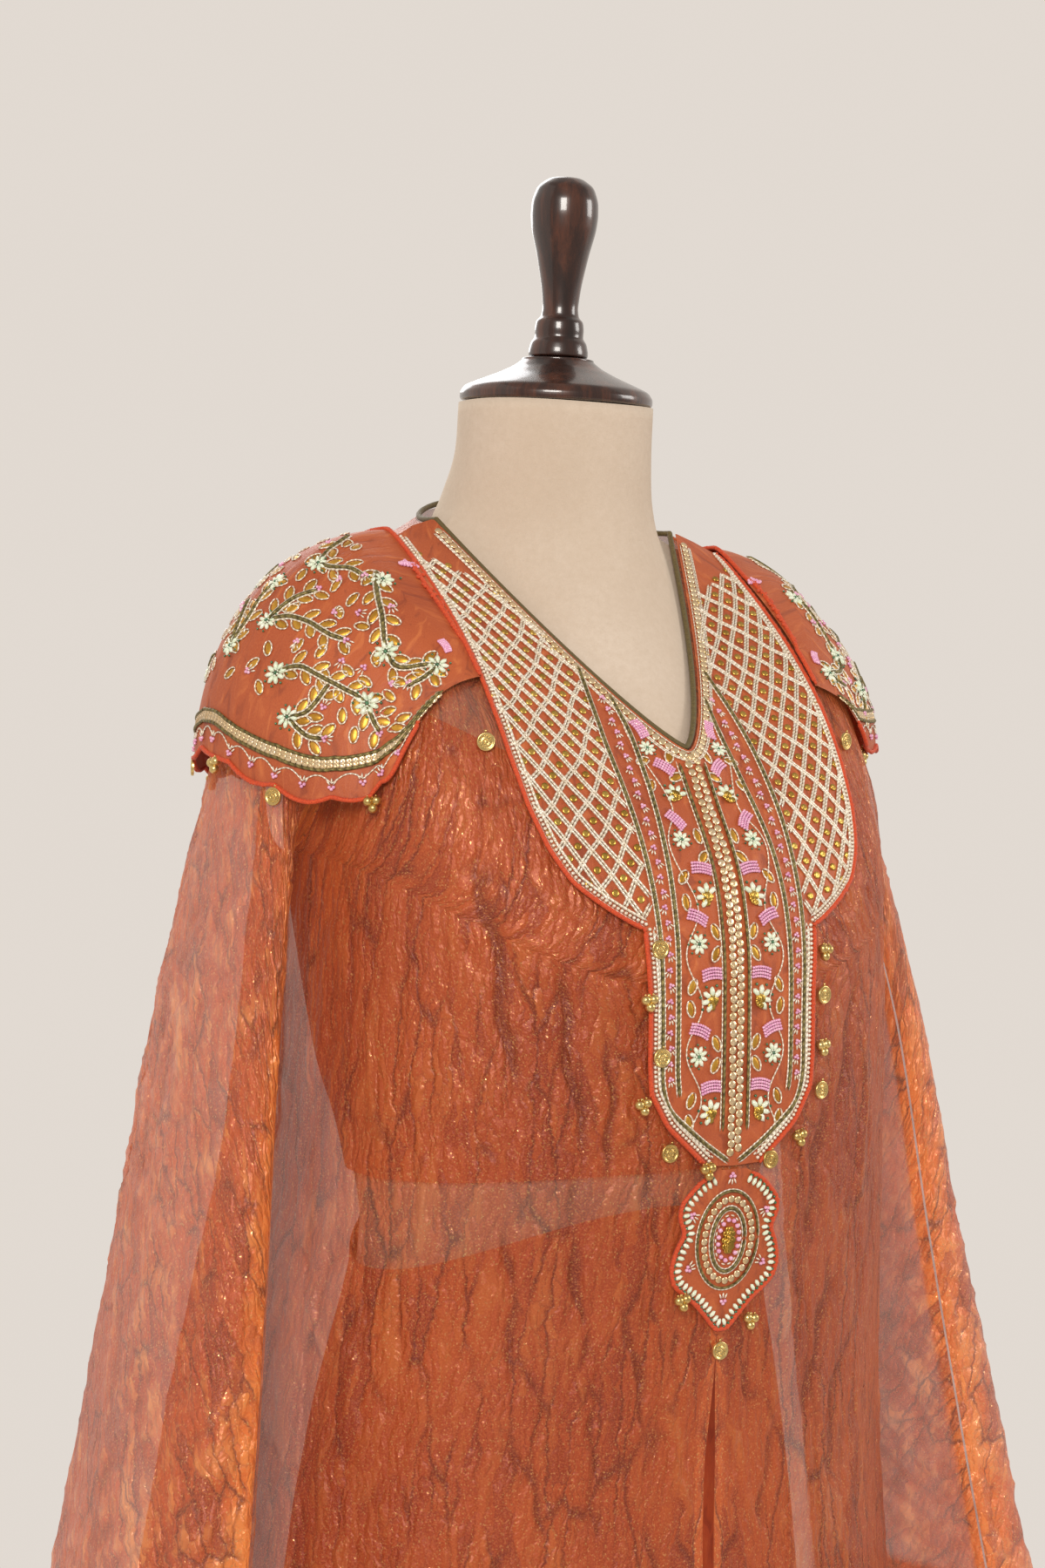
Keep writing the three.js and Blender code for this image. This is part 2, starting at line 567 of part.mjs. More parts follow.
// The point of the body's left side at a given y where its x or its z reaches a given value.
function bodyAt(y, axis, value) {
  const isFront = y < bodyRings[0].midY;
  let [low, high] = [shoulderStart, 0.45];
  let point = null;
  for (let step = 0; step < 26; step += 1) {
    const middle = (low + high) / 2;
    const ring = readTable(bodyRings, 'at', middle);
    const part = Math.min(Math.abs(y - ring.midY) / (isFront ? ring.front : ring.back), 1);
    const angle = Math.asin(part ** (1 / (isFront ? ring.vee : ring.bow)));
    point = ringPoint(ring, isFront ? -angle : angle);
    if (axis === 'x' ? point.x < value : point.z > value) {
      low = middle;
    } else {
      high = middle;
    }
  }
  return point;
}

// ---- bib and ornament, laid on the front and moved out ----
function bibGrid(halfColumns) {
  return bibRows.map((row, rowIndex) => {
    const outerShare = rowIndex === 0 ? 0 : frontShare(row.outerX, row.outerZ);
    const middleShare = rowIndex === 0 ? 0 : frontShare(0, row.middleZ);
    return Array.from({ length: 2 * halfColumns + 1 }, (_, i) => {
      const part = i / halfColumns - 1;
      const share = middleShare + (outerShare - middleShare) * Math.abs(part);
      return onFront(row.outerX * part, share);
    });
  });
}

function ornamentGrid(columns) {
  return ornamentRows.map(({ z, half }) => {
    const share = frontShare(0, z);
    return Array.from({ length: columns + 1 }, (_, i) => onFront(half * ((2 * i) / columns - 1), share));
  });
}

// ---- the dress form and the linings ----
const turnsOf = (columns) => Array.from({ length: columns }, (_, i) => (2 * Math.PI * i) / columns);

function formGrid(columns) {
  return formStations.map((share) => {
    const ring = readTable(formRings, 'at', share);
    return turnsOf(columns).map((angle) => ringPoint(ring, angle));
  });
}

// The share of the way down at which the form reaches a given height at a given angle.
function formShare(angle, z) {
  let [low, high] = [0, 1];
  for (let step = 0; step < 30; step += 1) {
    const middle = (low + high) / 2;
    if (ringPoint(readTable(formRings, 'at', middle), angle).z > z) {
      low = middle;
    } else {
      high = middle;
    }
  }
  return (low + high) / 2;
}

function bodiceGrid(columns, rows) {
  return Array.from({ length: rows + 1 }, (_, row) => turnsOf(columns).map((angle) => {
    const middle = Math.sin(angle) < 0 ? 'fore' : 'rear';
    const heightOf = (edge) => edge.side + (edge[middle] - edge.side) * Math.sin(angle) ** 2;
    const z = heightOf(bodiceTop) + (heightOf(bodiceEnd) - heightOf(bodiceTop)) * (row / rows);
    return ringPoint(readTable(formRings, 'at', formShare(angle, z)), angle);
  }));
}

function skirtGrid(columns) {
  return skirtRings.map((row) => turnsOf(columns).map((angle) => {
    const grown = THREE.MathUtils.smoothstep(skirtFolds.topZ - row.z, 0, skirtFolds.topZ);
    const out = skirtFolds.hemDepth * Math.cos(skirtFolds.count * angle) * grown;
    const reach = Math.sin(angle) < 0 ? row.front : row.back;
    return new THREE.Vector3(
      (row.half + out) * Math.cos(angle),
      row.midY + (reach + out) * Math.sin(angle),
      row.z - row.dip * Math.cos(angle) ** 2,
    );
  }));
}

// A closed body from rings, with a flat fan over its first and its last ring.
function solidFromRings(grid) {
  const columns = grid[0].length;
  const centre = (line) => line.reduce((sum, p) => sum.add(p), new THREE.Vector3()).divideScalar(columns);
  const points = [...grid.flat(), centre(grid[0]), centre(grid[grid.length - 1])];
  const index = [];
  for (let row = 0; row < grid.length - 1; row += 1) {
    for (let column = 0; column < columns; column += 1) {
      const next = (column + 1) % columns;
      const [a, b] = [row * columns + column, row * columns + next];
      index.push(a, a + columns, b + columns, a, b + columns, b);
    }
  }
  const bottom = (grid.length - 1) * columns;
  for (let column = 0; column < columns; column += 1) {
    const next = (column + 1) % columns;
    index.push(points.length - 2, column, next);
    index.push(points.length - 1, bottom + next, bottom + column);
  }
  return facingOut(points.flatMap((p) => [p.x, p.y, p.z]), index);
}

// ---- turned wood and the stand ----
function turned(name, profile, finish, segments) {
  const points = profile.map(([radius, height]) => new THREE.Vector2(radius, height));
  const geometry = new THREE.LatheGeometry(points, segments);
  geometry.rotateX(Math.PI / 2);
  return addPiece(name, geometry, finish);
}

// ---- binding round the neckline ----
function neckBinding() {
  const edge = [];
  const steps = 44;
  const backGap = 0.012;
  for (let i = 0; i <= steps; i += 1) {
    const angle = Math.PI / 2 + backGap + ((2 * Math.PI - 2 * backGap) * i) / steps;
    const outwards = bodyPoint(angle, 0).sub(bodyPoint(angle, 0.01)).normalize();
    edge.push(bodyPoint(angle, 0).addScaledVector(outwards, pipingRadius + layerGap + seamGap));
  }
  const section = new THREE.Shape();
  section.absarc(0, 0, pipingRadius, 0, 2 * Math.PI, false);
  const path = new THREE.CatmullRomCurve3(edge, false, 'centripetal');
  return new THREE.ExtrudeGeometry(section, { extrudePath: path, steps: 48, curveSegments: 2 });
}

// ---- coins and bells ----
const wasm = await Module();
wasm.setup();

function toSolid(geometry) {
  const bare = geometry.clone();
  bare.deleteAttribute('normal');
  bare.deleteAttribute('uv');
  const merged = BufferGeometryUtils.mergeVertices(bare, 1e-4);
  return new wasm.Manifold(new wasm.Mesh({
    numProp: 3,
    vertProperties: new Float32Array(merged.attributes.position.array),
    triVerts: new Uint32Array(merged.index.array),
  }));
}

function fromSolid(solid) {
  const mesh = solid.getMesh();
  const geometry = new THREE.BufferGeometry();
  geometry.setAttribute('position', new THREE.Float32BufferAttribute(mesh.vertProperties, 3));
  geometry.setIndex([...mesh.triVerts]);
  geometry.computeVertexNormals();
  return geometry;
}

// Three small bells in a clover that touch each other, with their backs in one plane.
function bellCluster() {
  const places = [[-0.85, 0], [0.85, 0], [0, -1.45]];
  return fromSolid(places.map(([x, y]) => {
    const ball = new THREE.IcosahedronGeometry(bellRadius);
    ball.translate(x * bellRadius, y * bellRadius, bellRadius);
    return toSolid(ball);
  }).reduce((whole, ball) => whole.add(ball)));
}

function coinDisc() {
  const disc = new THREE.CylinderGeometry(coinRadius, coinRadius, coinWall, 10);
  disc.rotateX(Math.PI / 2);
  return disc.translate(0, 0, coinWall / 2);
}

const charmShapes = { coin: coinDisc(), bells: bellCluster() };

// Hangs a charm flat against the cloth: its back lies a seam gap and a little off the point.
function hangCharm(name, kind, point, outward, clearance) {
  const mesh = addPiece(name, charmShapes[kind], 'gold');
  const facing = outward.clone().setZ(0).normalize();
  mesh.position.copy(point).addScaledVector(facing, clearance);
  mesh.up.set(0, 0, 1);
  const basis = new THREE.Matrix4().makeBasis(
    new THREE.Vector3(0, 0, 1).cross(facing),
    new THREE.Vector3(0, 0, 1),
    facing,
  );
  mesh.quaternion.setFromRotationMatrix(basis);
}

function outwardAt(x, z) {
  const share = frontShare(x, z);
  const across = onFront(x + 1, share).sub(onFront(x - 1, share));
  const down = onFront(x, share + 0.002).sub(onFront(x, share - 0.002));
  return down.cross(across).normalize();
}

// ---- assembly ----
const frontLayer = { wall: clothWall, seams: ['y', 'x'] };
addPiece('front_right', clothSolid(frontGrid(-1, 14), frontLayer), 'organza');
addPiece('front_left', clothSolid(frontGrid(1, 14), { ...frontLayer, side: -1 }), 'organza');
addPiece('back', clothSolid(backGrid(28), { wall: clothWall, seams: ['y', 'y'] }), 'organza');

const sleeve = clothSolid(sleeveGrid(), { wall: clothWall });
const mirrored = (geometry) => {
  const points = geometry.attributes.position.array;
  return facingOut([...points].map((value, i) => (i % 3 === 0 ? -value : value)), [...geometry.index.array]);
};
addPiece('sleeve_left', sleeve, 'organza');
addPiece('sleeve_right', mirrored(sleeve), 'organza');

const overlay = { wall: yokeWall, rise: layerGap + yokeWall };
const capLayer = { ...overlay, lifts: capLifts };
addPiece('shoulder_cap_left', clothSolid(capGrid(18, 6, 'left'), capLayer), 'bead');
addPiece('shoulder_cap_right', mirrored(clothSolid(capGrid(18, 6, 'right'), capLayer)), 'bead');
const bibLayer = { ...overlay, lifts: bibRows.map(({ lift }) => lift) };
addPiece('bib', clothSolid(bibGrid(7), bibLayer), 'bead');
addPiece('ornament', clothSolid(ornamentGrid(6), overlay), 'bead');

const liningLayer = { wall: liningWall, rise: liningRise + liningWall, wraps: true };
addPiece('lining_bodice', clothSolid(bodiceGrid(28, 8), liningLayer), 'lining');
addPiece('lining_skirt', clothSolid(skirtGrid(32), { wall: liningWall, wraps: true }), 'lining');

addPiece('neck_binding', neckBinding(), 'piping');
addPiece('form_torso', solidFromRings(formGrid(28)), 'suede');
for (const [name, profile, segments] of [['neck_cap', neckCapProfile, 24], ['finial', finialProfile, 16]]) {
  const wood = turned(name, profile, 'wood', segments);
  wood.position.set(0, 0, rimHeight + layerGap);
  wood.rotation.set(rad(neckLean), 0, 0);
}
const poleProfile = [
  [0, baseHeight + seamGap], [poleRadius, baseHeight + seamGap], [poleRadius, poleTop], [0, poleTop],
];
turned('pole', poleProfile, 'wood', 12).position.setY(poleY);
turned('base', baseProfile, 'wood', 32).position.setY(poleY);

frontCharms.forEach(({ kind, x, z, out }, i) => {
  const outward = outwardAt(x, z);
  hangCharm(`${kind}_front_${i + 1}`, kind, onFront(x, frontShare(x, z)), outward, layerGap + out);
});
for (const [hand, sign] of [['left', 1], ['right', -1]]) {
  capCharms.forEach((charm, i) => {
    const { y, width, low } = capEdge(charm.turn, hand);
    const point = capPoint(capChordX + width, y, low - capScallop.depth - charmDrop);
    const outward = new THREE.Vector3(sign * Math.cos(rad(charm.turn)), Math.sin(rad(charm.turn)), 0);
    point.setX(sign * point.x);
    hangCharm(`${charm.kind}_cap_${hand}_${i + 1}`, charm.kind, point, outward, layerGap + charm[hand]);
  });
}
model.position.set(0, neckAxisY, 0);

export default model;
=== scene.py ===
import math
import bpy
import numpy as np
from mathutils import Matrix, Vector


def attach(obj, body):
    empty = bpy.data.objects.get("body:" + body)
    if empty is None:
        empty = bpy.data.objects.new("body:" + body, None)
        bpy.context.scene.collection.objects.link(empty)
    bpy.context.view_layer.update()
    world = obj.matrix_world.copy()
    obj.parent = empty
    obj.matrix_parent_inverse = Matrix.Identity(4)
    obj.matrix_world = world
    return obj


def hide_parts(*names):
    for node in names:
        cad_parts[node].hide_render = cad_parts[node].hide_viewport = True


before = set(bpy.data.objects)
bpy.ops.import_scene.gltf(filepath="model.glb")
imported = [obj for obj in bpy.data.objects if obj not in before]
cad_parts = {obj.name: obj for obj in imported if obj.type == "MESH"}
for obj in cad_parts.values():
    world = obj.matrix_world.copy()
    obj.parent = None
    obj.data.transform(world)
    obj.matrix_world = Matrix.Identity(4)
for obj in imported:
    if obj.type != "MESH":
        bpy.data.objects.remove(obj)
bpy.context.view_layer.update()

# lengths are millimetres round the neck's axis until a mesh is made, and metres in the mesh
mm = 0.001
axisY = -12.9        # neck axis from the middle of the whole part
rimHeight = 1500.8   # underside of the turned neck cap
neckLean = math.radians(2.7)


def rows(columns, values):
    # a table with named columns, one array a column
    return dict(zip(columns.split(), np.array(values, float).T))


def readRows(table, key, place):
    # each column at a place: the cubic between two rows whose slopes are those between the rows around them
    at = table[key]
    place = np.asarray(place, float)
    way = 1 if at[-1] > at[0] else -1
    i = np.clip(np.searchsorted(at * way, place * way, side='left') - 1, 0, len(at) - 2)
    before, after = np.clip(i - 1, 0, None), np.clip(i + 2, None, len(at) - 1)
    span = at[i + 1] - at[i]
    t = np.clip((place - at[i]) / span, 0, 1)
    read = {}
    for name, column in table.items():
        rise = (column[i + 1] - column[before]) / (at[i + 1] - at[before]) * span
        fall = (column[after] - column[i]) / (at[after] - at[i]) * span
        read[name] = (column[i] * (2*t**3 - 3*t**2 + 1) + rise * (t**3 - 2*t**2 + t)
                      + column[i + 1] * (3*t**2 - 2*t**3) + fall * (t**3 - t**2))
    return read


def ease(x, low, high):
    # 0 below low, 1 above high, 3t^2 - 2t^3 between
    t = np.clip((x - low) / (high - low), 0, 1)
    return t * t * (3 - 2 * t)


def noise(x, y, seed):
    # random numbers on whole points, blended by 3t^2 - 2t^3 in each direction, from 0 to 1
    table = np.random.default_rng(seed).random((128, 128))
    i, j = np.floor(x).astype(int), np.floor(y).astype(int)
    u, v = x - i, y - j
    u, v = u * u * (3 - 2 * u), v * v * (3 - 2 * v)
    a, b = table[i % 128, j % 128], table[(i + 1) % 128, j % 128]
    c, d = table[i % 128, (j + 1) % 128], table[(i + 1) % 128, (j + 1) % 128]
    return (a * (1 - u) + b * u) * (1 - v) + (c * (1 - u) + d * u) * v


def ridges(x, y, seed, sharp):
    # 1 along the lines where the noise passes its middle, falling off to both sides
    return (1 - np.abs(2 * noise(x, y, seed) - 1)) ** sharp


print('scene: camera')
view = dict(azimuth=33, distance=1800, height=1318, pitch=-1.51, roll=1.2, pan=0.49, lens=68)
az, pan = math.radians(view['azimuth']), math.radians(view['pan'])
pitch, roll = math.radians(view['pitch']), math.radians(view['roll'])
ahead = Vector((math.sin(az) * math.cos(pan) - math.cos(az) * math.sin(pan),
                math.sin(az) * math.sin(pan) + math.cos(az) * math.cos(pan), 0)) * math.cos(pitch)
ahead.z = math.sin(pitch)
right = ahead.cross(Vector((0, 0, 1))).normalized()
over = right.cross(ahead)
right, over = right * math.cos(roll) + over * math.sin(roll), over * math.cos(roll) - right * math.sin(roll)
eye = bpy.data.objects.new('camera', bpy.data.cameras.new('camera'))
bpy.context.scene.collection.objects.link(eye)
eye.data.lens = view['lens']
eye.data.sensor_width = 36
eye.data.clip_end = 60
place = Vector((-view['distance'] * math.sin(az), -view['distance'] * math.cos(az) + axisY, view['height'])) * mm
eye.matrix_world = Matrix(((right.x, over.x, -ahead.x, place.x), (right.y, over.y, -ahead.y, place.y),
                           (right.z, over.z, -ahead.z, place.z), (0, 0, 0, 1)))
bpy.context.scene.camera = eye


print('scene: materials')


class Wire:
    # the output of a node: + - * / ** work on it from either side and add Math nodes
    def __init__(self, paint, socket):
        self.paint, self.socket = paint, socket

    def __add__(self, other): return self.paint.math('ADD', self, other)
    def __radd__(self, other): return self.paint.math('ADD', other, self)
    def __sub__(self, other): return self.paint.math('SUBTRACT', self, other)
    def __rsub__(self, other): return self.paint.math('SUBTRACT', other, self)
    def __mul__(self, other): return self.paint.math('MULTIPLY', self, other)
    def __rmul__(self, other): return self.paint.math('MULTIPLY', other, self)
    def __truediv__(self, other): return self.paint.math('DIVIDE', self, other)
    def __rtruediv__(self, other): return self.paint.math('DIVIDE', other, self)
    def __pow__(self, other): return self.paint.math('POWER', self, other)
    def __neg__(self): return self.paint.math('MULTIPLY', self, -1.0)


class Paint:
    # a material: node() adds any node from its type, its settings and its sockets' values or links
    def __init__(self, name):
        self.material = bpy.data.materials.new(name)
        self.material.use_nodes = True
        self.tree = self.material.node_tree
        self.tree.nodes.clear()
        # the cloth's emission is a painted glow that stands in for light passing through it
        self.material.cycles.emission_sampling = 'NONE'   # the faint glow of the cloth isn't sampled as a lamp

    def node(self, kind, settings=None, sockets=None, out=0):
        made = self.tree.nodes.new('ShaderNode' + kind)
        for key, value in (settings or {}).items():
            if key == 'stops':
                ramp = made.color_ramp
                while len(ramp.elements) < len(value):
                    ramp.elements.new(0.5)
                for element, (where, colour) in zip(ramp.elements, value):
                    element.position, element.color = where, (*colour, 1) if len(colour) == 3 else colour
            else:
                setattr(made, key, value)
        for key, value in (sockets or {}).items():
            if isinstance(value, Wire):
                self.tree.links.new(value.socket, made.inputs[key])
            else:
                made.inputs[key].default_value = value
        return Wire(self, made.outputs[out]) if len(made.outputs) else None

    def math(self, operation, a, b=0.0, clamp=False):
        return self.node('Math', {'operation': operation, 'use_clamp': clamp}, {0: a, 1: b})

    def between(self, value, low, high):
        # 0 below low and 1 above high
        return self.node('MapRange', {}, {0: value, 1: low, 2: high, 3: 0.0, 4: 1.0})

    def mix(self, share, a, b, way='MIX'):
        a, b = [(*c, 1) if isinstance(c, tuple) and len(c) == 3 else c for c in (a, b)]
        return self.node('Mix', {'data_type': 'RGBA', 'blend_type': way}, {0: share, 6: a, 7: b}, 2)

    def object(self):
        return self.node('TexCoord', out=3)

    def uv(self):
        return self.node('UVMap', {'uv_map': 'uv'})

    def mark(self, name):
        return self.node('Attribute', {'attribute_name': name}, out=2)

    def stretched(self, where, size):
        return self.node('VectorMath', {'operation': 'MULTIPLY'}, {0: where, 1: size})

    def specks(self, where, scale, detail=2.0, rough=0.5):
        return self.node('TexNoise', {}, {'Vector': where, 'Scale': scale, 'Detail': detail, 'Roughness': rough})

    def cells(self, where, scale, out=0):
        return self.node('TexVoronoi', {'voronoi_dimensions': '2D'}, {'Vector': where, 'Scale': scale}, out)

    def bump(self, height, distance, strength=1.0, normal=None):
        sockets = {'Height': height, 'Distance': distance, 'Strength': strength}
        if normal:
            sockets['Normal'] = normal
        return self.node('Bump', {}, sockets)

    def finish(self, colour, **sockets):
        named = {key.replace('_', ' '): value for key, value in sockets.items()}
        shader = self.node('BsdfPrincipled', {}, {'Base Color': colour, **named})
        self.node('OutputMaterial', {}, {'Surface': shader})
        return self.material


def linear(*colour):
    # sRGB from 0 to 255 as the shader's linear values
    return tuple(c / 255 / 12.92 if c <= 10.3 else ((c / 255 + 0.055) / 1.055) ** 2.4 for c in colour)


def organza(name, look):
    # crushed silk: jagged upright cells give the facets, some lightened by painted highlight and some darkened by
    # painted shade, and, along their edges, creases painted dark as shade where a slow noise lets them;
    # narrow cells give the glitter, and the marks fold and double tell raised and doubled cloth, which get painted
    # highlight and shade too;
    # a faint glow paints the light that passes through the cloth
    p = Paint(name)
    uv = p.node('Mapping', {}, {'Vector': p.uv(), 'Rotation': (0, 0, math.radians(look['turn']))})
    fold = p.mark('fold')
    double = p.mark('double')
    sway = p.node('TexNoise', {'noise_dimensions': '2D'}, {'Vector': uv, 'Scale': 38.0, 'Detail': 1.5}, 1)
    jitter = p.node('TexNoise', {'noise_dimensions': '2D'}, {'Vector': uv, 'Scale': 240.0, 'Detail': 1.0}, 1)
    bent = p.node('VectorMath', {'operation': 'MULTIPLY_ADD'}, {0: sway, 1: (0.009, 0.012, 0), 2: uv})
    bent = p.node('VectorMath', {'operation': 'MULTIPLY_ADD'}, {0: jitter, 1: (0.003, 0.003, 0), 2: bent})
    large, small = p.stretched(bent, look['large']), p.stretched(bent, look['small'])
    toEdge = {'feature': 'DISTANCE_TO_EDGE', 'voronoi_dimensions': '2D'}
    edge = p.node('TexVoronoi', toEdge, {'Vector': large, 'Scale': 1.0})
    edge2 = p.node('TexVoronoi', toEdge, {'Vector': small, 'Scale': 1.0})
    facet = p.cells(large, 1.0, 1)
    facet2 = p.cells(small, 1.0, 1)
    patch = p.specks(p.stretched(uv, look['patch']), 1.0, 2.0, 0.6)
    slow = p.specks(p.object(), 7.0, 1.5)
    fine = p.specks(uv, 900.0, 1.0)
    fleck = p.between(p.cells(uv, 1300.0, 1), 0.78, 0.95)
    creased = p.between(patch, 0.42, 0.56)
    crease = (1.0 - p.between(edge, 0.01, 0.1)) * creased
    crease = p.math('MAXIMUM', crease, (1.0 - p.between(edge2, 0.0, 0.1)) * creased * 0.45)
    # painted shade: crease lines and the sunken folds, where the fold mark is negative, are darkened towards a dark
    # crimson
    creaseShade = p.math('MAXIMUM', crease, p.between(fold * -1.0, 0.3, 0.9) * 0.85)
    # painted shade: random facets are darkened towards the dark red shade colour, as if turned away from the light
    facetShade = p.between(facet + (facet2 - 0.5) * 0.5 + (patch - 0.5) * -0.9, 0.34, 0.16)
    # painted highlight: facets and raised folds are lightened towards a bright orange, as if lit; the same mask lowers
    # the roughness
    paintedHighlight = p.between(facet2 * 0.6 + facet * 0.4 + fold * 0.5 + (patch - 0.5) * -0.5, 0.55, 0.95)
    base = p.mix(p.between(slow, 0.35, 0.65), linear(*look['cloth']), linear(*look['cloth2']))
    base = p.mix(paintedHighlight * look['shine'], base, linear(*look['paintedHighlight']))
    # painted highlight: doubled cloth is lightened towards a bright orange by the share lit
    base = p.mix(double * look['lit'], base, linear(*look['doubledHighlight']))
    base = p.mix(facetShade * 0.5, base, linear(*look['shade']))
    base = p.mix(creaseShade * 0.82, base, linear(*look['creaseShade']))
    # fine specks are lightened towards the painted highlight colour too
    base = p.mix(p.between(fine, 0.45, 0.7) * 0.3, base, linear(*look['paintedHighlight']))
    base = p.mix(fleck * look['gold'], base, linear(*look['fleck']))
    alpha = look['solid'] + double * (look['doubled'] - look['solid'])
    alpha = p.math('ADD', alpha, fold * -0.1, clamp=True)
    height = edge2 * 0.8 + edge * 1.1 + facet * 0.25 + fine * 0.05
    normal = p.bump(height, look['bump'] * mm)
    # painted light: a faint glow in the cloth's colour and its highlight colour stands in for light passing through the
    # cloth
    paintedGlow = p.mix(0.5, base, linear(*look['paintedHighlight']))
    return p.finish(base, Roughness=0.46 - paintedHighlight * 0.14 - fleck * 0.2, Metallic=0.12 + fleck * 0.5, Alpha=alpha,
                    Normal=normal, Sheen_Weight=0.14, Sheen_Roughness=0.4, Sheen_Tint=(*linear(*look['sheen']), 1),
                    Emission_Color=paintedGlow, Emission_Strength=look['paintedGlow'], Specular_IOR_Level=0.5)


# colours as sRGB; solid and doubled are the opacities of one and two layers, large, small and patch the cells a metre
organzaLook = dict(cloth=(188, 84, 40), cloth2=(160, 62, 36), creaseShade=(74, 14, 24), paintedHighlight=(236, 144, 78),
                   shade=(118, 34, 34), sheen=(224, 124, 100), doubledHighlight=(234, 124, 44), fleck=(255, 200, 130),
                   gold=0.6, lit=0.08, solid=0.66, doubled=0.93, turn=0, large=(74, 15, 1), small=(210, 60, 1),
                   patch=(34, 9, 1), shine=0.34, bump=2.0, paintedGlow=0.07)
sleeveOrganza = dict(organzaLook, turn=-32, solid=0.63, lit=0.55, cloth=(200, 84, 34), cloth2=(176, 64, 34),
                     large=(90, 30, 1), small=(230, 80, 1), patch=(40, 16, 1), bump=2.4, shine=0.95, paintedGlow=0.14)
bodyCloth = organza('body_organza', organzaLook)
sleeveCloth = organza('sleeve_organza', sleeveOrganza)


def backingCloth(name, colours):
    # matt, finely woven cloth under the beadwork and in the linings, with painted highlight on the rises of its soft
    # pulls and painted shade in their hollows
    p = Paint(name)
    uv = p.uv()
    slow = p.specks(p.object(), 14.0, 3.0)
    thread = p.specks(p.stretched(uv, (2400, 900, 1)), 1.0, 2.0)
    pull = p.node('TexNoise', {}, {'Vector': p.stretched(uv, (130, 60, 1)), 'Scale': 1.0, 'Detail': 3.0,
                                   'Distortion': 0.8})
    base = p.mix(p.between(slow, 0.3, 0.7), linear(*colours[0]), linear(*colours[1]))
    base = p.mix(p.between(thread, 0.4, 0.8) * 0.35, base, linear(*colours[2]))
    # painted highlight on the pulls' rises and painted shade in their hollows, from the noise that also bumps them
    base = p.mix(p.between(pull, 0.56, 0.7) * 0.5, base, linear(*colours[2]))
    base = p.mix(p.between(pull, 0.44, 0.32) * 0.45, base, linear(*colours[3]))
    normal = p.bump(pull, 1.1 * mm, 0.8, p.bump(thread, 0.12 * mm, 0.7))
    return p.finish(base, Roughness=0.62 - thread * 0.1, Normal=normal, Sheen_Weight=0.12,
                    Sheen_Tint=(*linear(240, 150, 110), 1))


# the third colour lightens the threads and is the painted highlight, the fourth is the painted shade
yokeCloth = backingCloth('yoke_cloth', ((182, 86, 42), (160, 70, 36), (214, 122, 66), (112, 42, 26)))
liningCloth = backingCloth('lining_cloth', ((204, 84, 34), (186, 70, 30), (214, 104, 52), (140, 44, 22)))


def suede():
    # beige nap: cloudy tone, fine pile and a faint grain
    p = Paint('form_suede')
    where = p.object()
    cloud = p.specks(where, 11.0, 4.0)
    nap = p.specks(where, 260.0, 4.0, 0.7)
    pile = p.specks(where, 1400.0, 2.0)
    base = p.mix(p.between(cloud, 0.3, 0.7), linear(214, 197, 180), linear(203, 184, 165))
    base = p.mix(p.between(nap, 0.35, 0.7) * 0.4, base, linear(192, 172, 151))
    return p.finish(base, Roughness=0.93, Normal=p.bump(nap + pile * 0.6, 0.35 * mm, 0.8), Sheen_Weight=0.25,
                    Sheen_Tint=(*linear(255, 245, 225), 1), Specular_IOR_Level=0.2)


def turnedWood():
    # dark rosewood under lacquer: upright streaks round the axis
    p = Paint('dark_wood')
    where = p.object()
    streak = p.specks(p.stretched(where, (90, 90, 9)), 1.0, 6.0, 0.65)
    pore = p.specks(p.stretched(where, (900, 900, 60)), 1.0, 2.0)
    stops = (0.3, linear(24, 13, 11)), (0.5, linear(52, 28, 20)), (0.72, linear(96, 52, 33))
    base = p.node('ValToRGB', {'stops': stops}, {0: streak})
    base = p.mix(p.between(pore, 0.55, 0.8) * 0.5, base, linear(18, 10, 9))
    return p.finish(base, Roughness=0.24 + pore * 0.08, Normal=p.bump(pore, 0.05 * mm, 0.4), Coat_Weight=0.6,
                    Coat_Roughness=0.08)


def metalThread(name, colours, rough, twist, shine):
    # twisted metal thread: stripes round and along the cord
    p = Paint(name)
    split = p.node('SeparateXYZ', {}, {0: p.uv()})
    across = Wire(p, split.socket.node.outputs[1])
    lay = p.math('SINE', split * twist + across * 6.2832)
    tone = p.specks(p.object(), 300.0, 2.0)
    base = p.mix(p.between(lay, -1.0, 1.0), linear(*colours[0]), linear(*colours[1]))
    base = p.mix(p.between(tone, 0.4, 0.75) * 0.6, base, linear(*colours[2]))
    return p.finish(base, Metallic=shine, Roughness=rough + tone * 0.12, Normal=p.bump(lay, 0.22 * mm, 0.8))


def glossy(name, colours, metallic, rough, coat=0.0):
    # beads and sequins: each one a little different through its mark
    p = Paint(name)
    own = p.mark('own')
    worn = p.specks(p.object(), 700.0, 2.0)
    base = p.mix(own, linear(*colours[0]), linear(*colours[1]))
    base = p.mix(p.between(worn, 0.5, 0.8) * 0.35, base, linear(*colours[2]))
    return p.finish(base, Metallic=metallic, Roughness=rough + worn * 0.12, Normal=p.bump(worn, 0.05 * mm, 0.4),
                    Coat_Weight=coat, Coat_Roughness=0.1)


def softThread(name, colours):
    # silk or cotton thread: fine lay and a soft sheen
    p = Paint(name)
    lay = p.specks(p.stretched(p.uv(), (900, 6, 1)), 1.0, 2.0)
    fuzz = p.specks(p.object(), 1200.0, 2.0)
    base = p.mix(p.between(lay, 0.3, 0.7), linear(*colours[0]), linear(*colours[1]))
    return p.finish(base, Roughness=0.6 + fuzz * 0.15, Normal=p.bump(lay + fuzz, 0.2 * mm, 0.8), Sheen_Weight=0.08)


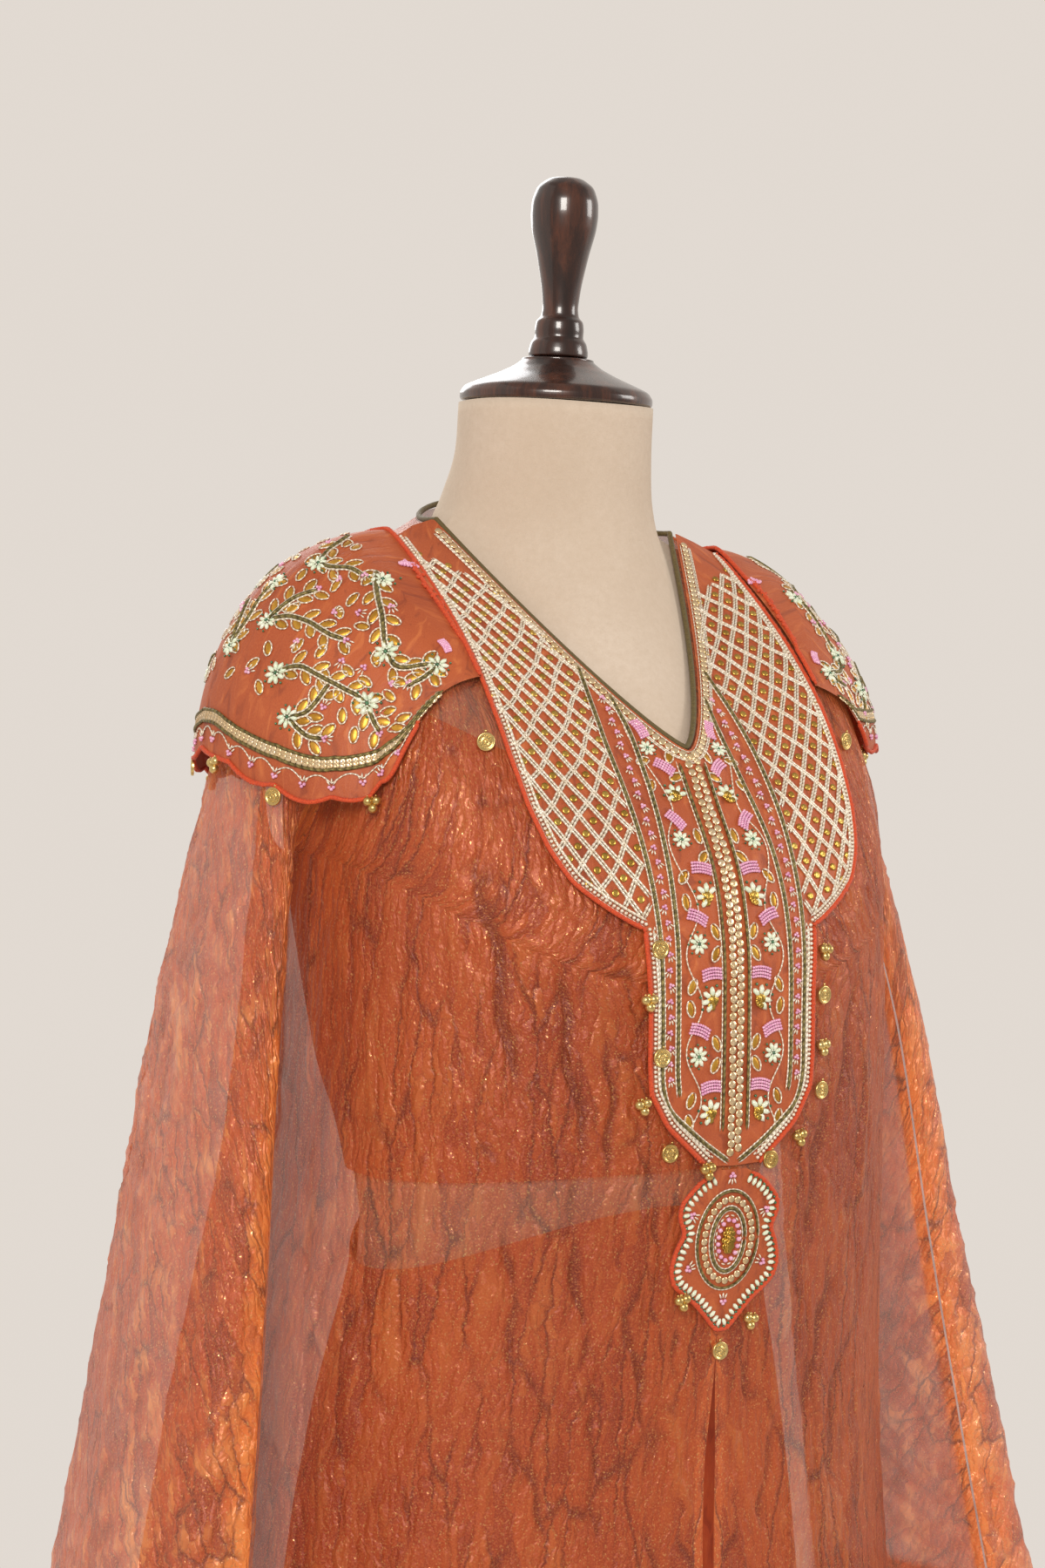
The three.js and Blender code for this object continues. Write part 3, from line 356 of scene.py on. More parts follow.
finishes = dict(
    silver=metalThread('silver_zari', ((248, 236, 216), (212, 192, 164), (255, 252, 244)), 0.3, 2200, 0.35),
    olive=metalThread('olive_cord', ((128, 114, 66), (84, 74, 42), (168, 152, 96)), 0.45, 1500, 0.6),
    champagne=glossy('champagne_sequin', ((232, 200, 150), (246, 222, 184), (206, 160, 116)), 0.75, 0.26, 0.4),
    gold=glossy('gold_sequin', ((190, 150, 66), (226, 188, 96), (120, 88, 36)), 0.9, 0.28),
    leaf=glossy('gold_leaf', ((196, 142, 52), (226, 172, 72), (138, 92, 34)), 0.8, 0.34),
    mint=glossy('mint_bead', ((224, 236, 208), (240, 242, 222), (196, 214, 180)), 0.0, 0.28, 0.6),
    green=glossy('green_bead', ((40, 92, 58), (70, 126, 84), (22, 60, 40)), 0.1, 0.2, 0.8),
    pink=glossy('pink_bead', ((226, 158, 196), (240, 184, 210), (196, 122, 168)), 0.0, 0.25, 0.7),
    picot=softThread('picot_thread', ((224, 86, 34), (182, 54, 22))),
    piping=softThread('olive_piping', ((110, 94, 50), (80, 66, 34))),
    bell=glossy('bell_gold', ((206, 172, 104), (224, 196, 130), (120, 92, 48)), 0.9, 0.24),
)




def setPiece(name, points, faces, material, uv=None, marks=None, smooth=True):
    # a mesh object at the origin: points in millimetres round the neck's axis, faces as one or more index arrays
    points = np.asarray(points, float).reshape(-1, 3)
    groups = [f for f in (faces if isinstance(faces, list) else [faces]) if len(f)]
    corners = np.concatenate([f.ravel() for f in groups]).astype(np.int32)
    counts = np.concatenate([np.full(len(f), f.shape[1]) for f in groups]).astype(np.int32)
    mesh = bpy.data.meshes.new(name)
    mesh.vertices.add(len(points))
    mesh.vertices.foreach_set('co', ((points + (0, axisY, 0)) * mm).ravel())
    mesh.loops.add(len(corners))
    mesh.loops.foreach_set('vertex_index', corners)
    mesh.polygons.add(len(counts))
    mesh.polygons.foreach_set('loop_start', np.concatenate([[0], np.cumsum(counts)[:-1]]).astype(np.int32))
    mesh.update(calc_edges=True)
    mesh.polygons.foreach_set('use_smooth', np.full(len(counts), smooth))
    if uv is not None:
        layer = mesh.uv_layers.new(name='uv')
        layer.data.foreach_set('uv', np.asarray(uv, float).reshape(-1, 2)[corners].ravel())
    for key, value in (marks or {}).items():
        mesh.attributes.new(key, 'FLOAT', 'POINT').data.foreach_set('value', np.asarray(value, float).ravel())
    mesh.materials.append(material)
    piece = bpy.data.objects.new(name, mesh)
    bpy.context.scene.collection.objects.link(piece)
    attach(piece, 'root')
    return piece


def quads(rowsDown, columns, wraps=False):
    # faces of a grid of points kept row by row, facing out where columns run anticlockwise and rows run down
    i, j = np.meshgrid(np.arange(rowsDown - 1), np.arange(columns if wraps else columns - 1), indexing='ij')
    k = (j + 1) % columns
    corners = [i * columns + j, (i + 1) * columns + j, (i + 1) * columns + k, i * columns + k]
    return np.stack(corners, -1).reshape(-1, 4)


def outward(grid, sign=1, wraps=False):
    # unit directions across the grid's surface: down crossed with across
    if wraps:
        around = np.concatenate([grid[:, -1:], grid, grid[:, :1]], 1)
        across = np.gradient(around, axis=1)[:, 1:-1]
    else:
        across = np.gradient(grid, axis=1)
    way = np.cross(np.gradient(grid, axis=0), across)
    return sign * way / np.maximum(np.linalg.norm(way, axis=-1, keepdims=True), 1e-9)


def gridUv(grid):
    # metres along the rows and down the columns of a grid
    across = np.cumsum(np.linalg.norm(np.diff(grid, axis=1, prepend=grid[:, :1]), axis=-1), 1)
    down = np.cumsum(np.linalg.norm(np.diff(grid, axis=0, prepend=grid[:1]), axis=-1), 0)
    middle = grid.shape[1] // 2
    return np.stack([across - across[:, middle:middle + 1], down.mean(1, keepdims=True) + 0 * across], -1) * mm


ringColumns = 'at half midY front back side fore rear open vee bow'
bodyRings = rows(ringColumns, [
    [0, 87, -3, 141, 81, 1426, 1294, 1444, 1.48, 2, 1], [0.06, 120, -3, 158, 98, 1414, 1264, 1406, 1.34, 1.5, 1],
    [0.13, 166, -3, 178, 118, 1393, 1230, 1338, 1.1, 1.15, 0.95],
    [0.19, 177, -4, 186, 132, 1312, 1200, 1280, 0.84, 0.78, 0.92],
    [0.25, 182, -5, 189, 148, 1232, 1165, 1222, 0.78, 0.72, 0.9],
    [0.36, 190, -9, 185, 190, 1062, 1062, 1062, 0.8, 0.78, 0.88],
    [0.46, 204, -2, 183, 200, 958, 958, 958, 0.84, 0.84, 0.84],
    [0.58, 220, 4, 187, 213, 830, 830, 830, 0.88, 0.88, 0.82],
    [0.8, 262, 4, 218, 240, 450, 450, 450, 0.94, 0.94, 0.88], [1, 296, 3, 248, 260, 130, 130, 130, 1, 1, 0.95]])
bodyFolds = rows('angle spread depth start', [
    [12, 7, 15, 0.36], [30, 6, -16, 0.33], [47, 7, 19, 0.38], [66, 6, -14, 0.3], [84, 8, 16, 0.35],
    [103, 6, -17, 0.31], [122, 7, 15, 0.37], [140, 6, -13, 0.34], [158, 7, 18, 0.36], [198, 6, 14, 0.45],
    [214, 6, -13, 0.4], [230, 7, 17, 0.42], [247, 5, -14, 0.47], [261, 5, 10, 0.5], [284, 6, -12, 0.5],
    [299, 6, 18, 0.44], [316, 6, -14, 0.43], [333, 7, 15, 0.45]])
formRings = rows(ringColumns, [
    [0, 59, 0, 59, 59, 1500, 1497.22, 1502.78, 1, 1, 1], [0.04, 59.5, 1.5, 59, 61, 1470, 1466, 1474, 1, 1, 1],
    [0.08, 64, 5, 64, 66, 1446, 1424, 1456, 1, 1.1, 1], [0.12, 70, 3, 85, 72, 1432, 1372, 1446, 1.12, 1.4, 1],
    [0.16, 81, -3, 136, 77, 1421, 1293, 1438, 1.42, 1.97, 1],
    [0.2, 112, -3, 151, 88, 1409, 1262, 1400, 1.28, 1.5, 1],
    [0.25, 154, -3, 167, 102, 1386, 1232, 1334, 1.1, 1.15, 0.95],
    [0.3, 166, -4, 173, 106, 1312, 1202, 1280, 0.88, 0.82, 0.95],
    [0.36, 169, -5, 171, 103, 1232, 1168, 1222, 0.84, 0.78, 0.95],
    [0.46, 153, -10, 142, 92, 1122, 1114, 1122, 0.92, 0.9, 1],
    [0.56, 136, -14, 122, 88, 1066, 1062, 1066, 1, 0.98, 1], [0.64, 124, -14, 116, 88, 1014, 1012, 1014, 1, 1, 1],
    [0.74, 128, -12, 124, 98, 962, 962, 962, 1, 1, 1], [0.86, 144, -10, 134, 114, 895, 895, 895, 1, 1, 0.95],
    [1, 153, -10, 136, 120, 815, 815, 815, 1, 1, 0.95]])


def ringPoint(ring, angle):
    # half times cos to a power across, reach times sin to a power along, height from side to middle by sin squared
    c, s = np.cos(angle), np.sin(angle)
    front = s < 0
    across = np.where(front, ring['open'], ring['bow'])
    along = np.where(front, ring['vee'], ring['bow'])
    return np.stack([ring['half'] * np.sign(c) * np.abs(c) ** across,
                     ring['midY'] + np.where(front, ring['front'], ring['back']) * np.sign(s) * np.abs(s) ** along,
                     ring['side'] + (np.where(front, ring['fore'], ring['rear']) - ring['side']) * s * s], -1)


def bodyPoint(angle, share, folded=True):
    # the ring's point moved out by the folds: each is depth times exp(-(angle away / spread) squared)
    angle, share = np.broadcast_arrays(angle, share)
    ring = readRows(bodyRings, 'at', share)
    point = ringPoint(ring, angle)
    if not folded:
        return point
    reach = np.where(np.sin(angle) < 0, ring['front'], ring['back'])
    way = np.stack([np.cos(angle) / ring['half'], np.sin(angle) / reach], -1)
    way /= np.linalg.norm(way, axis=-1, keepdims=True)
    rise = 0
    for middle, spread, depth, start in zip(*bodyFolds.values()):
        away = np.abs((np.degrees(angle) - middle + 180) % 360 - 180)
        rise = rise + depth * ease(share, start, 1.05) * np.exp(-(away / spread) ** 2)
    point[..., :2] += way * np.asarray(rise)[..., None]
    return point


def frontAngle(x, share):
    # the angle on the front of the ring at share whose point lies at x
    ring = readRows(bodyRings, 'at', share)
    turn = np.arccos(np.minimum(np.abs(x) / ring['half'], 1) ** (1 / ring['open']))
    return np.where(x < 0, np.pi + turn, 2 * np.pi - turn)


def onFront(x, share):
    # the folded front of the ring at share, at x
    x, share = np.broadcast_arrays(np.asarray(x, float), np.asarray(share, float))
    return bodyPoint(frontAngle(x, share), share)


def frontShare(x, z):
    # the share of the way down at which the front at x reaches height z, by halving
    x, z = np.broadcast_arrays(np.asarray(x, float), np.asarray(z, float))
    low, high = np.zeros(x.shape), np.ones(x.shape)
    for _ in range(24):
        middle = (low + high) / 2
        above = onFront(x, middle)[..., 2] > z
        low, high = np.where(above, middle, low), np.where(above, high, middle)
    return (low + high) / 2


shoulderShare, underarmShare, armholeDepth = 0.13, 0.25, 48


def sideAngle(share, front):
    # from the side to the seam, or to the armhole's edge, half of an ellipse along the shares
    ring = readRows(bodyRings, 'at', share)
    along = (share - shoulderShare) / (underarmShare - shoulderShare)
    reach = 0.25 + armholeDepth * np.sqrt(np.maximum(0, 1 - (2 * along - 1) ** 2))
    return np.arcsin((reach / ring['front' if front else 'back']) ** (1 / ring['vee' if front else 'bow']))


def evenAngles(share, start, end, columns):
    # angles that divide each ring's outline from start to end into equal lengths
    fine = start[:, None] + (end - start)[:, None] * np.linspace(0, 1, 241)
    points = bodyPoint(fine, share[:, None], False)
    length = np.cumsum(np.linalg.norm(np.diff(points, axis=1, prepend=points[:, :1]), axis=-1), 1)
    length /= length[:, -1:]
    even = np.linspace(0, 1, columns)
    return np.array([np.interp(even, l, f) for l, f in zip(length, fine)])


def blended(grid, uSteps, vSteps, u, v):
    # the grid's value at (u, v), blended in a straight line between the four points around it
    j = np.clip((u - uSteps[0]) / (uSteps[1] - uSteps[0]), 0, len(uSteps) - 1.001)
    i = np.clip((v - vSteps[0]) / (vSteps[1] - vSteps[0]), 0, len(vSteps) - 1.001)
    a, b = i.astype(int), j.astype(int)
    s, t = (i - a)[..., None], (j - b)[..., None]
    return (grid[a, b] * (1 - s) * (1 - t) + grid[a + 1, b] * s * (1 - t)
            + grid[a, b + 1] * (1 - s) * t + grid[a + 1, b + 1] * s * t)


class Cloth:
    # a smooth surface as a grid over (u, v) in millimetres
    def __init__(self, points, u, v, sign, mirrored=False):
        self.points, self.u, self.v, self.mirrored = points, u, v, mirrored
        self.normals = outward(points, sign)
        self.across = np.gradient(points, u, axis=1)
        self.up = np.gradient(points, v, axis=0)

    def blend(self, grid, u, v):
        return blended(grid, self.u, self.v, u, v)

    def frame(self, u, v):
        # the place, and unit directions across, up and out of the cloth there
        u, v = np.broadcast_arrays(np.asarray(u, float), np.asarray(v, float))
        way = self.blend(self.normals, u, v)
        way /= np.maximum(np.linalg.norm(way, axis=-1, keepdims=True), 1e-9)
        across = self.blend(self.across, u, v)
        across = across - way * (across * way).sum(-1, keepdims=True)
        across /= np.maximum(np.linalg.norm(across, axis=-1, keepdims=True), 1e-9)
        up = np.cross(way, across) * (-1 if self.mirrored else 1)
        return self.blend(self.points, u, v), across, up, way

    def solve(self, u, v, wanted):
        # the step in u and v that moves by a vector along the cloth
        a, b = self.blend(self.across, u, v), self.blend(self.up, u, v)
        aa, ab, bb = (a * a).sum(-1), (a * b).sum(-1), (b * b).sum(-1)
        wa, wb = (a * wanted).sum(-1), (b * wanted).sum(-1)
        scale = np.maximum(aa * bb - ab * ab, 1e-6)
        return (wa * bb - wb * ab) / scale, (wb * aa - wa * ab) / scale

    def move(self, u, v, a, b):
        # true lengths a across and b up from (u, v), as (u, v)
        u, v, a, b = np.broadcast_arrays(*(np.asarray(k, float) for k in (u, v, a, b)))
        _, across, up, _ = self.frame(u, v)
        du, dv = self.solve(u, v, across * a[..., None] + up * b[..., None])
        return u + du, v + dv

    def aside(self, u, v, by):
        # a line moved over the cloth by a distance to its left
        point, _, _, way = self.frame(u, v)
        along = np.gradient(point, axis=0)
        along /= np.maximum(np.linalg.norm(along, axis=-1, keepdims=True), 1e-6)
        left = np.cross(way, along) * (-1 if self.mirrored else 1)
        du, dv = self.solve(u, v, left * by)
        return u + du, v + dv

    def even(self, u, v, spacing, start=0.0):
        # places at equal lengths along a line, with the line's angle in the cloth's frame at each
        u, v = np.asarray(u, float), np.asarray(v, float)
        point = self.blend(self.points, u, v)
        run = np.concatenate([[0], np.cumsum(np.linalg.norm(np.diff(point, axis=0), axis=-1))])
        count = max(int(round((run[-1] - start * spacing) / spacing)), 1)
        at = np.linspace(start * spacing, run[-1] - start * spacing, count + 1)
        a, b = np.interp(at, run, u), np.interp(at, run, v)
        centre, across, up, _ = self.frame(a, b)
        along = np.gradient(centre, axis=0)
        return a, b, np.arctan2((along * up).sum(-1), (along * across).sum(-1))


print('scene: cloth of the body')
bodyLook = dict(
    frontColumns=176, frontRows=330, leftColumns=150, leftRows=270, backColumns=220, backRows=240,
    crease=2.1, slitTop=958,
    # each crease: where it starts and ends (x, z), its half-width and its depth, a trough where negative
    creases=rows('x0 z0 x1 z1 wide deep', [
        [-150, 1245, -118, 1090, 5.0, -3.2], [-128, 1215, -112, 1120, 4.0, 2.6], [-104, 1190, -88, 1060, 4.5, -3.4],
        [-82, 1150, -78, 1050, 4.0, -3.0], [-70, 1125, -60, 1012, 4.5, 2.4], [-64, 1110, -55, 1030, 4.2, -3.6],
        [-98, 1075, -80, 960, 4.2, -2.8], [-46, 1060, -40, 985, 4.0, -3.4], [-58, 1000, -44, 880, 5.0, -3.0],
        [-80, 955, -66, 845, 4.6, -2.8], [-30, 1040, -22, 940, 4.5, -3.0], [-28, 950, -14, 850, 4.0, 2.4],
        [-110, 1040, -96, 900, 5.0, 2.2], [-132, 1050, -118, 930, 4.2, -2.4], [-60, 1190, -20, 1215, 5.0, -2.6],
        [-88, 1175, -48, 1160, 4.0, -2.2], [-140, 1268, -100, 1262, 4.0, -1.8], [-120, 925, -96, 840, 4.4, -2.6],
        [-44, 880, -34, 780, 4.2, -2.6], [-96, 880, -84, 760, 4.8, 2.4], [-76, 1290, -66, 1240, 4.0, -1.8],
        [72, 1110, 62, 1000, 4.5, -3.0], [96, 1180, 84, 1060, 4.8, -2.6], [54, 1040, 46, 950, 4.0, 2.2],
        [82, 1010, 70, 900, 4.6, -2.8], [112, 1150, 104, 1020, 4.4, 2.2], [46, 930, 40, 830, 4.4, -2.8],
        [104, 960, 94, 850, 4.6, -2.6], [66, 880, 60, 780, 4.0, 2.2], [132, 1080, 122, 950, 4.6, -2.4],
        [28, 1000, 24, 900, 4.0, -2.4], [150, 1210, 132, 1100, 4.4, -2.2], [120, 880, 112, 770, 4.4, -2.4]]))


def creaseRise(x, z, table):
    # each crease: deep times exp(-(distance from its line / wide) squared), fading towards its ends
    rise = np.zeros(x.shape)
    for x0, z0, x1, z1, wide, deep in zip(*table.values()):
        dx, dz = x1 - x0, z1 - z0
        length = math.hypot(dx, dz)
        along = ((x - x0) * dx + (z - z0) * dz) / length ** 2
        bend = 4 * np.sin(along * 4.2 + x0) + 1.6 * np.sin(along * 17 + z0)
        away = ((x - x0) * dz - (z - z0) * dx) / length + bend
        fade = ease(along, -0.05, 0.3) * (1 - ease(along, 0.65, 1.05))
        # a sharp fold: steep on one side, easy on the other
        reach = np.where(away > 0, 0.45, 1.2) * wide
        rise += deep * fade * np.exp(-np.abs(away / reach) ** 1.4)
    return rise


def crinkle(across, down, seed):
    # narrow upright ridges and troughs that break off and start again, with finer slanting ones between
    warp = 9 * (noise(across / 34, down / 22, seed) - 0.5) + 3 * (noise(across / 11, down / 8, seed + 9) - 0.5)
    tall = ridges((across + warp) / 13, down / 70, seed + 1, 6)
    tall = tall - ridges((across - warp) / 12 + 9, down / 54, seed + 2, 6)
    slant = ridges((across + 0.5 * down + warp) / 12, (down - 0.4 * across) / 36, seed + 3, 6)
    slant = slant - ridges((across - 0.4 * down - warp) / 11, (down + 0.3 * across) / 40, seed + 4, 6)
    small = noise((across + warp) / 4, down / 15, seed + 5) - 0.5
    broken = ease(noise(across / 18, down / 26, seed + 7), 0.25, 0.75)
    calm = 0.4 + 0.9 * noise(across / 70, down / 90, seed + 6)
    return (0.85 * tall * (0.3 + broken) + 0.5 * slant * (1.2 - broken) + 0.4 * small) * calm


yokeOutline = rows('z half', [[1430, 118], [1317, 118], [1262, 113], [1222, 97], [1197, 62], [1190, 57],
                              [1108, 56], [1066, 24], [1050, 0]])


def yokeCover(x, z):
    # 1 under the bib, the medallion and near them, where the cloth lies flat
    half = np.interp(-z, -yokeOutline['z'], yokeOutline['half'])
    bib = 1 - ease(np.abs(x) - half, 0, 9)
    drop = 1 - ease(np.hypot(x / 38, (z - 1020) / 52), 1.0, 1.2)
    return np.maximum(bib, drop)


def dress(name, grid, sign, seed, creases, node):
    # a panel: its smooth grid moved along its outward directions by the crinkles and the creases
    way = outward(grid, sign)
    uv = gridUv(grid)
    across, down = uv[..., 0] / mm, uv[..., 1] / mm
    fold = bodyLook['crease'] * crinkle(across, down, seed)
    fold = fold * 0.8 + creaseRise(grid[..., 0], grid[..., 2], creases)
    # it lies still under the yoke and the caps, over the shoulders and at its edges
    still = 1 - 0.95 * np.where(grid[..., 1] < 0, yokeCover(grid[..., 0], grid[..., 2]), 0)
    still *= 0.06 + 0.94 * (1 - ease(grid[..., 2], 1290, 1345))
    edge = np.minimum(np.arange(grid.shape[1]), np.arange(grid.shape[1])[::-1]) / 5
    still *= np.clip(edge, 0.15, 1)
    still *= np.clip(np.arange(grid.shape[0]) / 6, 0, 1)[:, None]
    fold = fold * still
    # seam allowances and the hem are doubled
    rim = np.abs(across - across[:, :1]), np.abs(across[:, -1:] - across)
    double = 1 - ease(np.minimum(*rim), 5, 8)
    double = np.maximum(double, ease(down, down.max() - 28, down.max() - 24))
    # the fold mark also paints highlight on the ridges and shade in the troughs through the cloth's colour
    piece = setPiece(name, grid + way * (fold - 0.6)[..., None], quads(*grid.shape[:2])[:, ::sign], bodyCloth, uv,
                     dict(fold=fold / 2.6, double=double))
    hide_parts(node)
    return piece


def stations(count, close, top=0.0, end=1.0):
    # shares of the way down, closer together above `close`
    upper = int(count * 0.74)
    return np.concatenate([np.linspace(top, close, upper, endpoint=False), np.linspace(close, end, count - upper)])


def slitHalf(share):
    # half the width of the front slit: a little at once below its top, the rest towards the hem
    below = bodyLook['slitTop'] - readRows(bodyRings, 'at', share)['fore']
    return 0.2 + 3.4 * ease(below, 0, 70) + 6.5 * ease(below, 0, bodyLook['slitTop'])


def frontGrid(sign, columns, count):
    # one half of the front, in rows from the side seam or armhole to the slit
    share = stations(count, 0.6)
    start = -sideAngle(share, True)
    end = -(2 * np.pi - frontAngle(slitHalf(share), share))
    angle = evenAngles(share, start, end, columns)
    return bodyPoint(angle if sign > 0 else np.pi - angle, share[:, None])


share = stations(bodyLook['backRows'], 0.6)
side = sideAngle(share, False)
backGrid = bodyPoint(evenAngles(share, side, np.pi - side, bodyLook['backColumns']), share[:, None])
backCreases = rows('x0 z0 x1 z1 wide deep', [
    [-90, 1290, -70, 1120, 5, -2.8], [-40, 1300, -34, 1150, 5, 2.4], [20, 1310, 26, 1140, 5, -2.8],
    [70, 1280, 60, 1110, 5, 2.4], [110, 1240, 96, 1080, 5, -2.6], [-120, 1200, -104, 1020, 5, -2.6],
    [-60, 1080, -50, 900, 5, -2.8], [0, 1100, 8, 920, 5, 2.4], [50, 1060, 60, 880, 5, -2.8],
    [100, 1020, 112, 850, 5, 2.4], [-130, 960, -140, 760, 6, -2.6], [140, 940, 150, 740, 6, -2.6]])
frontRight = dress('kaftan_front_right', frontGrid(-1, bodyLook['frontColumns'], bodyLook['frontRows']), 1, 11,
                   bodyLook['creases'], 'front_right')
frontLeft = dress('kaftan_front_left', frontGrid(1, bodyLook['leftColumns'], bodyLook['leftRows']), -1, 23,
                  bodyLook['creases'], 'front_left')
back = dress('kaftan_back', backGrid, 1, 37, backCreases, 'back')




print('scene: sleeves')
sleeveRings = rows('at outX outZ inX inZ depth midY', [
    [0, 170.5, 1385, 185.5, 1239, 46, -4], [0.05, 188, 1366, 192, 1224, 49, -3],
    [0.12, 203, 1332, 196, 1206, 52, -2], [0.2, 212, 1290, 200, 1184, 57, -2], [0.3, 225, 1232, 205, 1150, 65, -4],
    [0.42, 244, 1150, 211, 1095, 73, -9], [0.6, 271, 1010, 219, 985, 82, -16], [0.8, 302, 860, 232, 850, 92, -26],
    [1, 330, 725, 249, 720, 100, -36]])
sleeveLook = dict(columns=150, rows=200, crease=2.3, slit=243.3, tack=0.22, full=0.42,
                  waves=6, waveDepth=5, frontFold=262, foldWidth=20)


def sleevePoint(turn, share):
    # an ellipse between the outer and the inner point, leaving the armhole's edge over the first tenth
    turn, share = np.broadcast_arrays(turn, share)
    ring = readRows(sleeveRings, 'at', share)
    wave = 1 + np.cos(sleeveLook['waves'] * turn) * sleeveLook['waveDepth'] * ease(share, 0.3, 1) / ring['depth']
    across = np.cos(turn) * wave / 2
    point = np.stack([(ring['outX'] + ring['inX']) / 2 + (ring['outX'] - ring['inX']) * across,
                      ring['midY'] + ring['depth'] * np.sin(turn) * wave,
                      (ring['outZ'] + ring['inZ']) / 2 + (ring['outZ'] - ring['inZ']) * across], -1)
    down = shoulderShare + (underarmShare - shoulderShare) * (1 - np.cos(turn)) / 2
    front = np.sin(turn) < 0
    edge = np.where(front[..., None], bodyPoint(-sideAngle(down, True), down), bodyPoint(sideAngle(down, False), down))
    blend = ease(share, 0, 0.12)[..., None]
    return edge * (1 - blend) + point * blend


share = np.linspace(0, 1, sleeveLook['rows']) ** 1.1
opened = ease(share, sleeveLook['tack'], sleeveLook['full'])
for hand, sign, seed, wide in (('left', 1, 51, 2), ('right', -1, 67, 13)):   # wide is the open slit's width
    gap = (0.6 + wide * opened) / readRows(sleeveRings, 'at', share)['depth']
    start = math.radians(sleeveLook['slit']) + gap / 2
    turn = start[:, None] + (2 * np.pi - gap)[:, None] * np.linspace(0, 1, sleeveLook['columns'])
    grid = sleevePoint(turn, share[:, None]) * (sign, 1, 1)
    uv = gridUv(grid)
    across, down = uv[..., 0] / mm, uv[..., 1] / mm
    warp = 10 * (noise(across / 40, down / 34, seed) - 0.5) + 4 * (noise(across / 12, down / 10, seed + 9) - 0.5)
    slanted = ridges((down - 0.75 * across + warp) / 13, (across + 0.75 * down) / 40, seed + 1, 5)
    slanted = slanted - ridges((down - 0.6 * across - warp) / 14, (across + 0.6 * down) / 36, seed + 2, 5)
    upright = ridges((across + warp) / 22, down / 120, seed + 3, 5)
    upright = upright - ridges((across - warp) / 24, down / 110, seed + 4, 5)
    small = noise((down - 0.8 * across) / 5, (across + 0.8 * down) / 16, seed + 5) - 0.5
    fold = sleeveLook['crease'] * (0.6 * slanted + 0.5 * upright * ease(down, 60, 260) + 0.35 * small)
    rim = np.minimum(np.arange(grid.shape[1]), np.arange(grid.shape[1])[::-1]) / 5
    calm = 0.5 + 0.7 * noise(across / 80, down / 90, seed + 6)
    fold = fold * np.clip(rim, 0.1, 1) * ease(share, 0.0, 0.12)[:, None] * calm
    angle = np.degrees(turn) % 360
    # the cloth is doubled in the fold at the front, beside the slit, at the hem and at the top
    near = np.exp(-((angle - sleeveLook['frontFold']) / sleeveLook['foldWidth']) ** 2)
    near = near * ease(share, 0.1, 0.3)[:, None]
    fromSlit = np.minimum(across - across[:, :1], across[:, -1:] - across)
    double = np.maximum(0.85 * near, 1 - ease(fromSlit, 6, 9))
    double = np.maximum(double, ease(down, down.max() - 24, down.max() - 20))
    double = np.maximum(double, 0.7 * (1 - ease(down, 0, 30)))
    way = outward(grid, sign)
    # the fold mark is raised along the front fold, so the cloth's colour paints a highlight there; the doubled parts
    # also get the painted highlight of doubled cloth
    piece = setPiece('kaftan_sleeve_' + hand, grid + way * (fold - 0.6)[..., None], quads(*grid.shape[:2])[:, ::sign],
                     sleeveCloth, uv, dict(fold=fold / 2.4 + 0.35 * near, double=double))
    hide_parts('sleeve_' + hand)


print('scene: shoulder caps')
capRim = rows('turn right left', [
    [-82, 1308, 1312], [-72, 1283, 1302], [-58, 1270, 1298], [-42, 1265, 1298], [-26, 1272, 1297],
    [-12, 1281, 1294], [0, 1290, 1290], [16, 1288, 1284], [34, 1280, 1278], [52, 1276, 1276], [68, 1274, 1274],
    [80, 1280, 1280]])
capLook = dict(chordX=117, side=105, front=116, back=93, centreY=8, clearance=2.4, scallops=9, scallop=4)


def bodyAt(y, axis, value):
    # the body's left side at y where its x (axis 0) or its z (axis 2) reaches value, by halving
    y, value = np.broadcast_arrays(np.asarray(y, float), np.asarray(value, float))
    low, high = np.full(y.shape, 0.05), np.full(y.shape, 0.45)
    for _ in range(24):
        middle = (low + high) / 2
        ring = readRows(bodyRings, 'at', middle)
        front = y < -3
        part = np.minimum(np.abs(y - ring['midY']) / np.where(front, ring['front'], ring['back']), 1)
        angle = np.arcsin(part ** (1 / np.where(front, ring['vee'], ring['bow'])))
        point = ringPoint(ring, np.where(front, -angle, angle))
        before = point[..., axis] < value if axis == 0 else point[..., axis] > value
        low, high = np.where(before, middle, low), np.where(before, high, middle)
    return point


def capGrid(hand, sign, columns, count):
    # a quarter ellipse from the bib's plane out to the rim at each turn, kept clear of the body
    turn = np.linspace(capRim['turn'][0], capRim['turn'][-1], columns)
    bow = np.radians(turn)
    y = capLook['centreY'] + np.where(turn < 0, capLook['front'], capLook['back']) * np.sin(bow)
    width = capLook['side'] * np.cos(bow)
    part = np.linspace(0, 1, columns)
    bays = np.abs(np.sin(np.pi * capLook['scallops'] * part))
    low = readRows(capRim, 'turn', turn)[hand] - capLook['scallop'] * bays
    top = bodyAt(y, 0, capLook['chordX'])[..., 2]
    bend = np.linspace(0, np.pi / 2, count)[:, None]
    z = low + (top - low) * np.cos(bend)
    x = capLook['chordX'] + 0.5 + width * np.sin(bend)
    yy = np.broadcast_to(y, z.shape)
    clear = bodyAt(yy, 2, z)[..., 0] + capLook['clearance']
    x = np.where(bend < 0.02, x, np.maximum(x, clear))
    lift = 2.4 * (1 - np.sin(bend)) ** 2
    grid = np.stack([x * sign, yy, z], -1)
    return grid, lift


